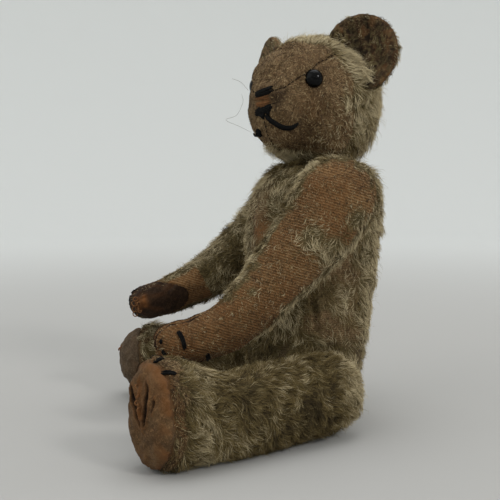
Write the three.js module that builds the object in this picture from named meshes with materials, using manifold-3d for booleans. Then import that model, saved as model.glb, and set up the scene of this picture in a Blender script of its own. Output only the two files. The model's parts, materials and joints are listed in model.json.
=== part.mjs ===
// A small jointed plush bear, sitting: sewn covers over wood-wool stuffing, with felt pads,
// glass eyes and five disc joints, each held by a cotter pin.
// Millimetres, +Z up. The origin is on the floor under the seat. The chest faces -Y and the
// bear's own left is +X.

import * as THREE from 'three';
import { mergeVertices } from 'three/addons/utils/BufferGeometryUtils.js';
import Module from 'manifold-3d';

const wasm = await Module();
wasm.setup();

// ---------------------------------------------------------------- driving dimensions

const CLOTH = 1.2; // wall of a cover: backing cloth and the stubble of its pile
const GAP = 0.3; // clearance between pieces that touch
const JOINT_GAP = 0.5; // between a limb and the torso
const OVER = 1; // how far a cutting bar runs past what it cuts
const SIDES = { left: 1, right: -1 };

// Detail of the outer skins and of what they hide.
const SKIN = { rings: 18, sides: 20 };
const CORE = { rings: 11, sides: 11 };

// Torso: [y, z, half width, half depth] up its middle line.
const TORSO = {
  stations: [
    [-3, -3, 19, 17],
    [-2.8, 6, 21, 19.8],
    [-2.4, 20, 22, 23.2],
    [-1.6, 42, 22, 26],
    [-0.3, 66, 21.6, 27.5],
    [1.6, 84, 21.6, 27.8],
    [3.6, 96, 20.8, 25.6],
    [4.8, 110, 18, 22],
  ],
  capStart: 17,
  capEnd: 17,
  corner: 2.35,
};
const TORSO_TOP = 105; // where the head bears on it

// Head, in its own frame on the neck axis, facing -Y, from the nape to the nose.
const HEAD_TURN = 35.2; // degrees to its left at rest
const NECK = new THREE.Vector3(0, 2, TORSO_TOP);
const HEAD = {
  stations: [
    [23.8, 25, 20, 22],
    [13, 25.6, 23, 25.6],
    [0, 25.2, 24, 27.4],
    [-10, 25, 22.6, 25.6],
    [-18, 23.6, 18.8, 21.2],
    [-25, 21.6, 14, 15.8],
    [-32.5, 21.2, 11.2, 12],
  ],
  capStart: 15,
  capEnd: 6,
  corner: 2.05,
};
const EAR = { cup: 24, thickness: 3.2, tilt: -6 };
const EARS = {
  left: { radius: 14.2, turn: 20, place: new THREE.Vector3(20.5, 4.5, 43.2) },
  right: { radius: 13, turn: 30, place: new THREE.Vector3(-22.3, 0, 40.5) },
};
const EYE_RADIUS = 3.3;
const EYE_PLACE = new THREE.Vector3(15.8, -20.6, 32.3);

// Embroidery on the face: points [x, z] that each bundle of thread is laid along. Between the
// middle and the right corner the mouth's thread has worn away.
const NOSE_UPPER = { points: [[-4.3, 27.2], [-0.4, 28], [3.8, 28.7]], half: 1.1, rise: 0.5 };
const NOSE_LOWER = { points: [[-3.8, 20.4], [-0.2, 19.8], [3.9, 20.6]], half: 1.3, rise: 0.5 };
const MOUTH_LEFT = {
  points: [[1.6, 17.6], [4.8, 15.9], [7.8, 13.9], [10.4, 13.7], [12.3, 15]],
  half: 0.6,
  rise: 0.5,
};
const MOUTH_RIGHT = { points: [[-4.8, 12.9], [-7.4, 11.8], [-10.6, 12.6]], half: 0.7, rise: 0.5 };

// Arms, in a frame on the shoulder axis. Each hangs in the plane that its joint turns in,
// and each has settled into a bend of its own.
const SHOULDER = new THREE.Vector3(21.8, 1, 91.5);
const ARM_MIDDLE = 10; // from the joint face to the middle line
const ARM = { capStart: 13, capEnd: 7, corner: 2.1 };
const ARM_LEFT = [
  [1.5, 15.5, 11.5, 15.6],
  [0, 0, 12.2, 16.2],
  [-7.5, -12, 12, 14.8],
  [-17.5, -24, 11.6, 12.4],
  [-28.5, -36, 10.6, 10.4],
  [-40.5, -47.6, 9.4, 9.4],
  [-54, -53.2, 8.8, 8.4],
  [-69.5, -54.5, 8, 7.7],
];
const ARM_RIGHT = [
  [3, 15.5, 11.5, 16],
  [0, 0, 12.2, 16.6],
  [-9, -11, 12, 15.2],
  [-20, -21, 11.6, 13],
  [-32, -30.5, 10.6, 11],
  [-45, -38, 9.4, 9.2],
  [-59, -44.5, 8.6, 8.2],
  [-75.5, -48.8, 7.6, 7.2],
];
const PAW_PAD = { long: 13.5, short: 6.6, from: 15 }; // oval, and how far its middle is from the tip

// Legs, in a frame on the hip axis, lying forward along -Y on the floor.
const HIP = new THREE.Vector3(23, -7.2, 16);
const LEG_SPLAY = { left: 25.5, right: 7.1 }; // degrees that each foot points outward
const LEG_MIDDLE = 11.2;
const LEG = {
  stations: [
    [12.4, 1.6, 13, 13.2],
    [4, 1.2, 13.8, 14.2],
    [-13.2, 0.3, 13.6, 15],
    [-31.2, -0.7, 13.2, 15],
    [-47.2, -1.2, 12.8, 14.8],
  ],
  capStart: 12,
  corner: 2.1,
};
const FOOT = {
  left: [
    [-61, 1.1, 13.2, 16.8],
    [-71.2, 3.4, 14, 19.8],
    [-80.2, 3.5, 14.4, 20.2],
  ],
  right: [
    [-60.5, 0.9, 13.1, 16.4],
    [-69, 1.8, 13.5, 16.6],
    [-77.6, 2.2, 13.2, 15.2],
  ],
};
const LEG_REACH = { left: 1.03, right: 0.96 }; // the right leg's stuffing has sunk
const SOLE_ROUND = { left: 6.5, right: 19 }; // and its sole has gone round
const SOLE_SEAM = { left: -76.4, right: -64 }; // where the sole's felt meets the leg's cloth
const FLOOR = 0;

// Joints: each has a cardboard disc and a steel washer on both sides, on one cotter pin.
const DISC = { radius: 8.2, thickness: 1 };
const WASHER = { radius: 4.2, thickness: 0.6 };
const PIN = { radius: 1, head: 1.9, curl: 1.4, spread: 3.2, strip: [0.9, 1.2] };
const PIN_SIDES = 8;
const PIN_HOLE = PIN.radius + GAP;
const DISC_DEPTH = CLOTH + GAP;
const WASHER_DEPTH = DISC_DEPTH + DISC.thickness + GAP;
const PIN_DEPTH = WASHER_DEPTH + WASHER.thickness + GAP;
const PIN_ROOM = { radius: 4.6, depth: PIN_DEPTH + 4.6 };
const SEAT_DEPTH = 6.2; // how far in the hollow is opened to a disc's full round
const PULL = { full: 10, reach: 21, over: 1 }; // how a joint draws the torso's side out to it
const SIDE_FLAT = 17.5; // the side is pressed flat as far out as the limb's end turns

// ---------------------------------------------------------------- materials

const plush = new THREE.MeshStandardMaterial({ color: 0x6b5a3a, roughness: 0.95, metalness: 0 });
const felt = new THREE.MeshStandardMaterial({ color: 0x4d3320, roughness: 0.98, metalness: 0 });
const woodWool = new THREE.MeshStandardMaterial({ color: 0xb59a66, roughness: 1, metalness: 0 });
const cardboard = new THREE.MeshStandardMaterial({ color: 0x9a7b54, roughness: 0.9, metalness: 0 });
const steel = new THREE.MeshStandardMaterial({ color: 0x8a8680, roughness: 0.45, metalness: 1 });
const glass = new THREE.MeshStandardMaterial({ color: 0x0b0b10, roughness: 0.08, metalness: 0 });
const thread = new THREE.MeshStandardMaterial({ color: 0x15120f, roughness: 0.8, metalness: 0 });

// ---------------------------------------------------------------- solids

function solidOf(geometry) {
  const plain = geometry.index ? geometry.clone() : mergeVertices(geometry.clone());
  plain.deleteAttribute('normal');
  plain.deleteAttribute('uv');
  const merged = mergeVertices(plain, 1e-5);
  return new wasm.Manifold(
    new wasm.Mesh({
      numProp: 3,
      vertProperties: new Float32Array(merged.attributes.position.array),
      triVerts: new Uint32Array(merged.index.array),
    }),
  );
}

function geometryOf(solid) {
  const mesh = solid.getMesh();
  const geometry = new THREE.BufferGeometry();
  geometry.setAttribute('position', new THREE.BufferAttribute(mesh.vertProperties, 3));
  geometry.setIndex(new THREE.BufferAttribute(mesh.triVerts, 1));
  return geometry;
}

function named(name, solid, material) {
  const mesh = new THREE.Mesh(geometryOf(solid), material);
  mesh.name = name;
  return mesh;
}

// Turns a geometry's Y axis to point along `axis` and moves it to `place`.
function aimed(geometry, place, axis) {
  const turn = new THREE.Quaternion().setFromUnitVectors(new THREE.Vector3(0, 1, 0), axis);
  return geometry.applyQuaternion(turn).translate(place.x, place.y, place.z);
}

// A round bar from `near` to `far` along `axis`, measured from `place`.
function bar(radius, near, far, place, axis, sides = 14) {
  const geometry = new THREE.CylinderGeometry(radius, radius, far - near, sides);
  return solidOf(aimed(geometry.translate(0, (near + far) / 2, 0), place, axis));
}

// Takes away all that lies beyond the plane at `place` facing along `axis`.
function facedOff(solid, place, axis) {
  const size = 400; // beyond the bear on every side
  const block = new THREE.BoxGeometry(size, size, size).translate(0, size / 2, 0);
  return solid.subtract(solidOf(aimed(block, place, axis)));
}

// How full a section is, `along` mm from an end that rounds off over `cap` mm.
function rounding(along, cap) {
  const rest = Math.max(0, 1 - along / cap);
  return Math.sqrt(Math.max(0, 1 - rest * rest));
}

// A stuffed form: oval sections strung on a bent middle line that lies in the YZ plane at
// x = `middle`, closed round at both ends. `inset` draws the whole skin inwards, and `shift`
// moves single points of it.
function stuffedForm({
  stations,
  capStart,
  capEnd,
  corner,
  middle = 0,
  inset = 0,
  detail = SKIN,
  shift = () => {},
}) {
  const line = new THREE.CatmullRomCurve3(stations.map(([y, z]) => new THREE.Vector3(middle, y, z)));
  const girth = new THREE.CatmullRomCurve3(stations.map(([, , w, d]) => new THREE.Vector3(w, d, 0)));
  const length = line.getLength();
  const { rings, sides } = detail;
  const lateral = new THREE.Vector3(1, 0, 0);
  const positions = [];

  for (let ring = 0; ring <= rings; ring++) {
    const share = (1 - Math.cos((Math.PI * ring) / rings)) / 2;
    const t = line.getUtoTmapping(share);
    const centre = line.getPoint(t);
    const across = new THREE.Vector3().crossVectors(line.getTangent(t), lateral);
    const half = girth.getPoint(t);
    const full = rounding(share * length, capStart) * rounding((1 - share) * length, capEnd);
    const isPole = ring === 0 || ring === rings;
    for (let side = 0; side < (isPole ? 1 : sides); side++) {
      const angle = (2 * Math.PI * (side + 0.5)) / sides;
      const cos = Math.cos(angle);
      const sin = Math.sin(angle);
      const squared = full / (Math.abs(cos) ** corner + Math.abs(sin) ** corner) ** (1 / corner);
      const point = centre
        .clone()
        .addScaledVector(lateral, half.x * squared * cos)
        .addScaledVector(across, half.y * squared * sin);
      shift(point);
      positions.push(point.x, point.y, point.z);
    }
  }

  const first = (ring) => 1 + (ring - 1) * sides;
  const last = first(rings);
  const index = [];
  for (let side = 0; side < sides; side++) {
    const next = (side + 1) % sides;
    index.push(0, first(1) + next, first(1) + side);
    for (let ring = 1; ring < rings - 1; ring++) {
      const [a, b] = [first(ring) + side, first(ring) + next];
      const [c, d] = [first(ring + 1) + side, first(ring + 1) + next];
      index.push(a, b, c, b, d, c);
    }
    index.push(first(rings - 1) + side, first(rings - 1) + next, last);
  }

  const geometry = new THREE.BufferGeometry();
  geometry.setAttribute('position', new THREE.Float32BufferAttribute(positions, 3));
  geometry.setIndex(index);
  geometry.computeVertexNormals();
  const { position, normal } = geometry.attributes;
  for (let i = 0; i < position.count; i++) {
    position.setXYZ(
      i,
      position.getX(i) - inset * normal.getX(i),
      position.getY(i) - inset * normal.getY(i),
      position.getZ(i) - inset * normal.getZ(i),
    );
  }
  return solidOf(geometry);
}

// A sewn cover, its hollow and what fills it. `shape(inset, detail)` gives the form at each depth.
function sewn(shape) {
  const outer = shape(0, SKIN);
  const hollow = shape(CLOTH, CORE);
  const filling = shape(CLOTH + GAP, CORE);
  return { shell: outer.subtract(hollow), filling };
}

// ---------------------------------------------------------------- joints

// One side of a joint: the disc and washer that lie inside a cover, behind the face at `place`.
// `inward` points from that face into the piece.
function jointSide(place, inward) {
  const ring = ({ radius, thickness }, depth, sides) =>
    bar(radius, depth, depth + thickness, place, inward, sides).subtract(
      bar(PIN_HOLE, depth - OVER, depth + thickness + OVER, place, inward, PIN_SIDES),
    );
  return {
    disc: ring(DISC, DISC_DEPTH, 16),
    washer: ring(WASHER, WASHER_DEPTH, 10),
    hole: bar(PIN_HOLE, -OVER, CLOTH + OVER, place, inward, PIN_SIDES),
    room: bar(DISC.radius + GAP, 0, WASHER_DEPTH, place, inward)
      .add(bar(WASHER.radius + GAP, 0, PIN_DEPTH, place, inward))
      .add(bar(PIN_ROOM.radius, 0, PIN_ROOM.depth, place, inward)),
  };
}

// Opens a cover's hollow to the full round of the disc that lies against its wall.
function seated(hollow, place, inward) {
  return hollow.add(bar(DISC.radius + GAP, CLOTH, CLOTH + SEAT_DEPTH, place, inward));
}

// The cotter pin: a round eye in the limb, and two legs rolled outward over the torso's washer.
// `place` is the torso's joint face and `outward` points into the limb.
function cotterPin(place, outward) {
  const eye = -(JOINT_GAP + PIN_DEPTH) - PIN.head;
  const inward = outward.clone().negate();
  const legs = PIN_DEPTH;
  const side = new THREE.Vector3(0, 1, 0);
  if (Math.abs(side.dot(outward)) > 0.9) side.set(1, 0, 0);
  side.addScaledVector(outward, -side.dot(outward)).normalize();
  let pin = bar(PIN.radius, eye, legs + PIN.curl, place, inward, PIN_SIDES);
  const ball = new THREE.SphereGeometry(PIN.head, PIN_SIDES, 5);
  const [thick, wide] = PIN.strip.map((size) => size / 2);
  const section = new THREE.Shape([
    new THREE.Vector2(-thick, -wide),
    new THREE.Vector2(thick, -wide),
    new THREE.Vector2(thick, wide),
    new THREE.Vector2(-thick, wide),
  ]);
  pin = pin.add(solidOf(aimed(ball, place.clone().addScaledVector(inward, eye), inward)));
  for (const way of [-1, 1]) {
    const start = place.clone().addScaledVector(inward, legs + 2 * thick);
    const top = start.clone().addScaledVector(inward, 2 * PIN.curl).addScaledVector(side, way * PIN.curl);
    const end = start.clone().addScaledVector(side, way * PIN.spread);
    const path = new THREE.QuadraticBezierCurve3(start, top, end);
    pin = pin.add(solidOf(new THREE.ExtrudeGeometry(section, { steps: 4, extrudePath: path })));
  }
  return pin;
}

// ---------------------------------------------------------------- torso

const left = new THREE.Vector3(1, 0, 0);
const up = new THREE.Vector3(0, 0, 1);
const down = up.clone().negate();

function mirrored(vector, side) {
  return new THREE.Vector3(vector.x * side, vector.y, vector.z);
}

function hipAxis(side) {
  const splay = THREE.MathUtils.degToRad(side > 0 ? LEG_SPLAY.left : LEG_SPLAY.right);
  return new THREE.Vector3(side * Math.cos(splay), Math.sin(splay), 0);
}

function torsoFaces() {
  const faces = [{ name: 'neck', place: NECK, outward: up }];
  for (const [word, side] of Object.entries(SIDES)) {
    faces.push({
      name: `shoulder_${word}`,
      place: mirrored(SHOULDER, side),
      outward: mirrored(left, side),
    });
    faces.push({ name: `hip_${word}`, place: mirrored(HIP, side), outward: hipAxis(side) });
  }
  return faces;
}

// Draws a point of the torso's skin out towards each limb's joint near it.
function pulledToJoints(point) {
  for (const { place, outward } of torsoFaces().slice(1)) {
    const from = point.clone().sub(place);
    const out = from.dot(outward);
    if (out < -SHOULDER.x) continue;
    const away = from.addScaledVector(outward, -out).length();
    const pull = 1 - THREE.MathUtils.smoothstep(away, PULL.full, PULL.reach);
    point.addScaledVector(outward, pull * Math.max(0, PULL.over - out));
  }
}

// The skin meets each limb in a flat round. The stuffing stops behind the discs there.
function torsoForm(inset, detail) {
  const isSkin = inset === 0;
  let form = stuffedForm({ ...TORSO, inset, detail, shift: isSkin ? pulledToJoints : undefined });
  for (const { place, outward } of torsoFaces().slice(1)) {
    form = form.subtract(bar(SIDE_FLAT + inset, -inset, 20, place, outward, detail.sides));
    if (inset === CLOTH) form = seated(form, place, outward.clone().negate());
  }
  form = facedOff(form, new THREE.Vector3(0, 0, FLOOR + inset), down);
  return facedOff(form, NECK.clone().addScaledVector(up, -inset), up);
}

function torso() {
  const group = new THREE.Group();
  let { shell, filling } = sewn(torsoForm);
  for (const { name, place, outward } of torsoFaces()) {
    const { disc, washer, hole, room } = jointSide(place, outward.clone().negate());
    shell = shell.subtract(hole);
    filling = filling.subtract(room);
    group.add(named(`${name}_disc_torso`, disc, cardboard));
    group.add(named(`${name}_washer_torso`, washer, steel));
    group.add(named(`${name}_pin`, cotterPin(place, outward), steel));
  }
  group.add(named('torso_cover', shell, plush));
  group.add(named('torso_stuffing', filling, woodWool));
  return group;
}

// ---------------------------------------------------------------- head

const headFloor = new THREE.Vector3(0, 0, JOINT_GAP);

function headForm(inset, detail) {
  const form = stuffedForm({ ...HEAD, inset, detail });
  const flat = facedOff(form, headFloor.clone().addScaledVector(up, inset), down);
  return inset === CLOTH ? seated(flat, headFloor, up) : flat;
}

// The point on the head's face at (x, z), `lift` mm in front of the cloth.
function onFace(x, z, lift) {
  const face = new THREE.Mesh(geometryOf(headForm(0, SKIN)));
  const ray = new THREE.Raycaster(new THREE.Vector3(x, -100, z), new THREE.Vector3(0, 1, 0));
  const [hit] = ray.intersectObject(face);
  return hit.point.addScaledVector(hit.face.normal, lift);
}

// A cupped ear: a shallow dish whose lower half is lost in the head.
function ear(word) {
  const { cup, thickness, tilt } = EAR;
  const { radius, turn, place } = EARS[word];
  const reach = Math.asin(radius / cup);
  const profile = new THREE.Path();
  profile.absarc(0, 0, cup + thickness / 2, Math.PI / 2, Math.PI / 2 - reach, true);
  profile.absarc(
    cup * Math.sin(reach),
    cup * Math.cos(reach),
    thickness / 2,
    Math.PI / 2 - reach,
    -Math.PI / 2 - reach,
    true,
  );
  profile.absarc(0, 0, cup - thickness / 2, Math.PI / 2 - reach, Math.PI / 2, false);
  const points = profile.getPoints(3);
  points[0].x = 0;
  points[points.length - 1].x = 0;
  const dish = new THREE.LatheGeometry(points.reverse(), 18).translate(0, -cup, 0);
  dish.rotateZ(THREE.MathUtils.degToRad(SIDES[word] * turn)).rotateX(THREE.MathUtils.degToRad(tilt));
  return solidOf(dish.translate(place.x, place.y, place.z)).subtract(headForm(-GAP, SKIN));
}

function eye(side) {
  const place = mirrored(EYE_PLACE, side);
  const ball = new THREE.SphereGeometry(EYE_RADIUS, 16, 10).translate(place.x, place.y, place.z);
  return solidOf(ball).subtract(headForm(-GAP, SKIN));
}

// A laid bundle of thread, `half` as wide and `rise` as thick as its middle line allows.
function stitch({ points, half, rise }) {
  const path = new THREE.CatmullRomCurve3(points.map(([x, z]) => onFace(x, z, GAP + rise)));
  const section = new THREE.Shape();
  section.absellipse(0, 0, rise, half, 0, 2 * Math.PI);
  const laid = new THREE.ExtrudeGeometry(section, { steps: 8, curveSegments: 4, extrudePath: path });
  return solidOf(laid).subtract(headForm(-GAP, SKIN));
}

function head() {
  const group = new THREE.Group();
  group.position.copy(NECK);
  group.rotation.z = THREE.MathUtils.degToRad(HEAD_TURN);
  const { shell, filling } = sewn(headForm);
  const { disc, washer, hole, room } = jointSide(headFloor, up);
  group.add(named('head_cover', shell.subtract(hole), plush));
  group.add(named('head_stuffing', filling.subtract(room), woodWool));
  group.add(named('neck_disc_head', disc, cardboard));
  group.add(named('neck_washer_head', washer, steel));
  group.add(named('nose_stitch_upper', stitch(NOSE_UPPER), thread));
  group.add(named('nose_stitch_lower', stitch(NOSE_LOWER), thread));
  group.add(named('mouth_stitch_left', stitch(MOUTH_LEFT), thread));
  group.add(named('mouth_stitch_right', stitch(MOUTH_RIGHT), thread));
  for (const [word, side] of Object.entries(SIDES)) {
    group.add(named(`ear_${word}`, ear(word), plush));
    group.add(named(`eye_${word}`, eye(side), glass));
  }
  return group;
}

// ---------------------------------------------------------------- limbs

const joint = new THREE.Vector3(); // a limb's frame stands on its joint

// Parts a cover from the felt pad sewn into it, leaving the seam's gap between them.
function padded(shell, padRegion, seamRegion) {
  return { cover: shell.subtract(seamRegion), pad: shell.intersect(padRegion) };
}

// Adds a limb's cover, stuffing, pad, disc and washer to its group, which stands on the joint.
function addLimb(group, word, { limb, end, root }, { shape, padRegion, seamRegion, outward }) {
  const { shell, filling } = sewn(shape);
  const { disc, washer, hole, room } = jointSide(joint, outward);
  const { cover, pad } = padded(shell.subtract(hole), padRegion, seamRegion);
  group.add(named(`${limb}_cover_${word}`, cover, plush));
  group.add(named(`${limb}_stuffing_${word}`, filling.subtract(room), woodWool));
  group.add(named(`${end}_pad_${word}`, pad, felt));
  group.add(named(`${root}_${word}_disc_${limb}`, disc, cardboard));
  group.add(named(`${root}_${word}_washer_${limb}`, washer, steel));
}

function arm(word) {
  const side = SIDES[word];
  const stations = side > 0 ? ARM_LEFT : ARM_RIGHT;
  const outward = mirrored(left, side);
  const middle = side * ARM_MIDDLE;
  const shape = (inset, detail) => {
    const form = stuffedForm({ ...ARM, stations, middle, inset, detail });
    const flat = facedOff(form, outward.clone().multiplyScalar(inset), outward.clone().negate());
    return inset === CLOTH ? seated(flat, joint, outward) : flat;
  };

  // The palm's oval lies on the inner side of the paw, in line with the wrist.
  const [tip, wrist] = [stations.at(-1), stations.at(-2)];
  const along = new THREE.Vector3(0, wrist[0] - tip[0], wrist[1] - tip[1]).normalize();
  const centre = new THREE.Vector3(0, tip[0], tip[1]).addScaledVector(along, PAW_PAD.from);
  const oval = (grow) =>
    solidOf(
      new THREE.CylinderGeometry(1, 1, ARM_MIDDLE, 20)
        .scale(PAW_PAD.long + grow, 1, PAW_PAD.short + grow)
        .applyMatrix4(ovalTurn(along))
        .translate((side * ARM_MIDDLE) / 2, centre.y, centre.z),
    );

  const group = new THREE.Group();
  group.position.copy(mirrored(SHOULDER, side)).addScaledVector(outward, JOINT_GAP);
  addLimb(group, word, { limb: 'arm', end: 'paw', root: 'shoulder' }, {
    shape,
    padRegion: oval(0),
    seamRegion: oval(GAP),
    outward,
  });
  return group;
}

// Lays a cylinder's axis along X, and its long radius along `along` in the YZ plane.
function ovalTurn(along) {
  const axis = new THREE.Vector3(1, 0, 0);
  const short = new THREE.Vector3().crossVectors(along, axis);
  return new THREE.Matrix4().makeBasis(along, axis, short);
}

function leg(word) {
  const side = SIDES[word];
  const outward = mirrored(left, side);
  const middle = side * LEG_MIDDLE;
  const floor = new THREE.Vector3(0, 0, FLOOR - HIP.z);
  const reach = LEG_REACH[word];
  const stations = [...LEG.stations, ...FOOT[word]].map(([y, ...rest]) => [y * reach, ...rest]);
  const shape = (inset, detail) => {
    const form = stuffedForm({ ...LEG, capEnd: SOLE_ROUND[word], stations, middle, inset, detail });
    const lying = facedOff(form, floor.clone().addScaledVector(up, inset), down);
    const flat = facedOff(lying, outward.clone().multiplyScalar(inset), outward.clone().negate());
    return inset === CLOTH ? seated(flat, joint, outward) : flat;
  };
  const size = 100; // beyond the foot on every side
  const beyond = (y) => solidOf(new THREE.BoxGeometry(size, size, size).translate(0, y - size / 2, 0));

  const group = new THREE.Group();
  group.position.copy(mirrored(HIP, side)).addScaledVector(hipAxis(side), JOINT_GAP);
  group.rotation.z = THREE.MathUtils.degToRad(side * LEG_SPLAY[word]);
  addLimb(group, word, { limb: 'leg', end: 'foot', root: 'hip' }, {
    shape,
    padRegion: beyond(SOLE_SEAM[word] - GAP),
    seamRegion: beyond(SOLE_SEAM[word]),
    outward,
  });
  return group;
}

// ---------------------------------------------------------------- the bear

const bear = new THREE.Group();
bear.add(torso(), head());
for (const word of Object.keys(SIDES)) bear.add(arm(word), leg(word));

export default bear;
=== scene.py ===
"""A small threadbare plush bear, sitting: sewn covers, matted pile, felt pads, threads and glass eyes."""

import json
import math

import bmesh
import bpy
import numpy as np
from mathutils import Matrix, Vector
from mathutils.bvhtree import BVHTree
from mathutils.kdtree import KDTree

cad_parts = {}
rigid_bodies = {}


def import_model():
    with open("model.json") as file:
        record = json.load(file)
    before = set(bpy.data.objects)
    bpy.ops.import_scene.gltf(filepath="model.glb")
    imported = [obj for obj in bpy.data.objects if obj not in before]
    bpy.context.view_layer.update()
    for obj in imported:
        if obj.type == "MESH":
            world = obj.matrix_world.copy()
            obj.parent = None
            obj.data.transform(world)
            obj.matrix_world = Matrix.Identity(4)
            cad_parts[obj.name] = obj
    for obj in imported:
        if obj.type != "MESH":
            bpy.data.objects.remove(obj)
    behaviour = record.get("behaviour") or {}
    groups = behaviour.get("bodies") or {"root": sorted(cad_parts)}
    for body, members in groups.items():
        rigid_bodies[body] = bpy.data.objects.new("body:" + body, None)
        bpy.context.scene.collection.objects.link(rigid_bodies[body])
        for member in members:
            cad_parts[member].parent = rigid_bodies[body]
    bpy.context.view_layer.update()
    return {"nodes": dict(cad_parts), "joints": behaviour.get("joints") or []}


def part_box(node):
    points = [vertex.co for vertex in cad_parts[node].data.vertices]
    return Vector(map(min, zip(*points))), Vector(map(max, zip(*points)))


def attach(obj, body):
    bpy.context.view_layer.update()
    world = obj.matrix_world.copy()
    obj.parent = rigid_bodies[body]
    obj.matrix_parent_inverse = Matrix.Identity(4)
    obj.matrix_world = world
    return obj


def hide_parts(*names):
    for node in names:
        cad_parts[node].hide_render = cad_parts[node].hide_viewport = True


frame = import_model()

MM = 0.001
SIDES = {"left": 1, "right": -1}
JOINTS = {j["name"]: j for j in frame["joints"]}
FLOOR_CLEARANCE = 0.2  # mm that the pile stays above the floor

# ------------------------------------------------------------------ places


class Place:
    """A body's own frame in millimetres: x to the bear's left, y towards its back, z up."""

    def __init__(self, origin, turn=0.0):
        cos, sin = math.cos(turn), math.sin(turn)
        self.origin = np.array(origin, float)
        self.axes = np.array([[cos, sin, 0], [-sin, cos, 0], [0, 0, 1.0]])

    def local(self, points):
        return (np.asarray(points) - self.origin) @ self.axes.T / MM

    def world(self, points):
        return np.asarray(points, float) * MM @ self.axes + self.origin

    def local_way(self, vectors):
        return np.asarray(vectors) @ self.axes.T

    def world_way(self, vectors):
        return np.asarray(vectors, float) @ self.axes


def middle_of(node):
    low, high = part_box(node)
    return (low + high) / 2


def head_place():
    across = middle_of("eye_left") - middle_of("eye_right")
    return Place(JOINTS["neck_turn"]["pos_m"], math.atan2(across.y, across.x))


def hip_place(word):
    hinge = JOINTS[f"hip_{word}_swing"]
    return Place(hinge["pos_m"], math.atan2(hinge["axis"][1], hinge["axis"][0]))


PLACES = {"torso": Place((0, 0, 0)), "head": head_place()}
for word in SIDES:
    PLACES[f"arm_{word}"] = Place(JOINTS[f"shoulder_{word}_swing"]["pos_m"])
    PLACES[f"leg_{word}"] = hip_place(word)

# ------------------------------------------------------------------ small maths


def smooth(low, high, value):
    """0 below low, 1 above high, and a soft step between."""
    t = np.clip((value - low) / (high - low), 0, 1)
    return t * t * (3 - 2 * t)


def ripple(points, pitch, seed):
    """A soft random field from about -1 to 1 whose swells are about pitch apart."""
    rng = np.random.default_rng(seed)
    ways = rng.normal(size=(9, 3))
    ways /= np.linalg.norm(ways, axis=1, keepdims=True)
    ways *= 2 * math.pi / (pitch * rng.uniform(0.7, 1.7, (9, 1)))
    return np.sin(points @ ways.T + rng.uniform(0, 6.28, 9)).sum(1) / 3


def unit(vectors):
    return vectors / np.maximum(np.linalg.norm(vectors, axis=-1, keepdims=True), 1e-12)


def bell(distance, radius):
    """1 at no distance, falling softly to 0 at about twice the radius."""
    return np.exp(-((distance / radius) ** 2))


def near(points, spot, radius):
    """A bell round a spot."""
    return bell(np.linalg.norm(points - np.array(spot, float), axis=1), radius)


def patches(points, spots):
    """The sum of near() over (x, y, ..., radius) spots."""
    return sum(near(points, spot, radius) for *spot, radius in spots)


def curve(points, steps=8):
    """A smooth line through given points (Catmull-Rom)."""
    p = np.array(points, float)
    p = np.vstack([2 * p[0] - p[1], p, 2 * p[-1] - p[-2]])
    t = np.linspace(0, 1, steps, endpoint=False)[:, None]
    spans = [
        0.5 * (2 * b + (c - a) * t + (2 * a - 5 * b + 4 * c - d) * t**2
               + (3 * b - 3 * c + d - a) * t**3)
        for a, b, c, d in zip(p, p[1:], p[2:], p[3:])
    ]
    return np.vstack([*spans, p[-2:-1]])


def bend(start, middle, end, steps=48):
    """A quadratic curve from start to end, drawn towards middle."""
    t = np.linspace(0, 1, steps)[:, None]
    a, b, c = (np.array(v, float) for v in (start, middle, end))
    return (1 - t) ** 2 * a + 2 * t * (1 - t) * b + t**2 * c


def off_line(points, line):
    """For each point, its distance from a line of points, and how far along the line that is."""
    gaps = np.linalg.norm(points[:, None] - line[None], axis=2)
    nearest = gaps.argmin(1)
    travelled = np.concatenate([[0], np.cumsum(np.linalg.norm(np.diff(line, axis=0), axis=1))])
    return gaps.min(1), travelled[nearest]


def beside(points, line, radius):
    """A bell along a smooth line through given points."""
    return bell(off_line(points, curve(line))[0], radius)


# ------------------------------------------------------------------ meshes


def read(items, field, width=1, kind=np.float32):
    """An array of what a mesh holds in one field for each of its points, corners or triangles."""
    found = np.empty(len(items) * width, kind)
    items.foreach_get(field, found)
    return found.reshape(-1, width) if width > 1 else found


def points_of(mesh):
    return read(mesh.vertices, "co", 3).astype(float)


def normals_of(mesh):
    return read(mesh.vertex_normals, "vector", 3).astype(float)


def set_points(mesh, points):
    mesh.vertices.foreach_set("co", points.astype(np.float32).ravel())
    mesh.update()


def surface(body, mesh):
    """A mesh's points and normals, and then the same in its body's frame."""
    place, points, normal = PLACES[body], points_of(mesh), normals_of(mesh)
    return points, normal, place.local(points), place.local_way(normal)


def mesh_from(bm, name):
    """A new mesh from bmesh geometry, which is freed."""
    mesh = bpy.data.meshes.new(name)
    bm.to_mesh(mesh)
    bm.free()
    return mesh


def mesh_of(name, points, faces_by_size):
    """A mesh from points and arrays of faces, each array holding faces of one size."""
    mesh = bpy.data.meshes.new(name)
    mesh.vertices.add(len(points))
    mesh.vertices.foreach_set("co", np.asarray(points, np.float32).ravel())
    faces = [np.asarray(f, np.int32) for f in faces_by_size if len(f)]
    corners = np.concatenate([f.ravel() for f in faces])
    sizes = np.concatenate([np.full(len(f), f.shape[1]) for f in faces])
    mesh.loops.add(len(corners))
    mesh.loops.foreach_set("vertex_index", corners)
    mesh.polygons.add(len(sizes))
    starts = np.concatenate([[0], np.cumsum(sizes)[:-1]]).astype(np.int32)
    mesh.polygons.foreach_set("loop_start", starts)
    mesh.update(calc_edges=True)
    mesh.polygons.foreach_set("use_smooth", np.ones(len(sizes), bool))
    return mesh


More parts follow.
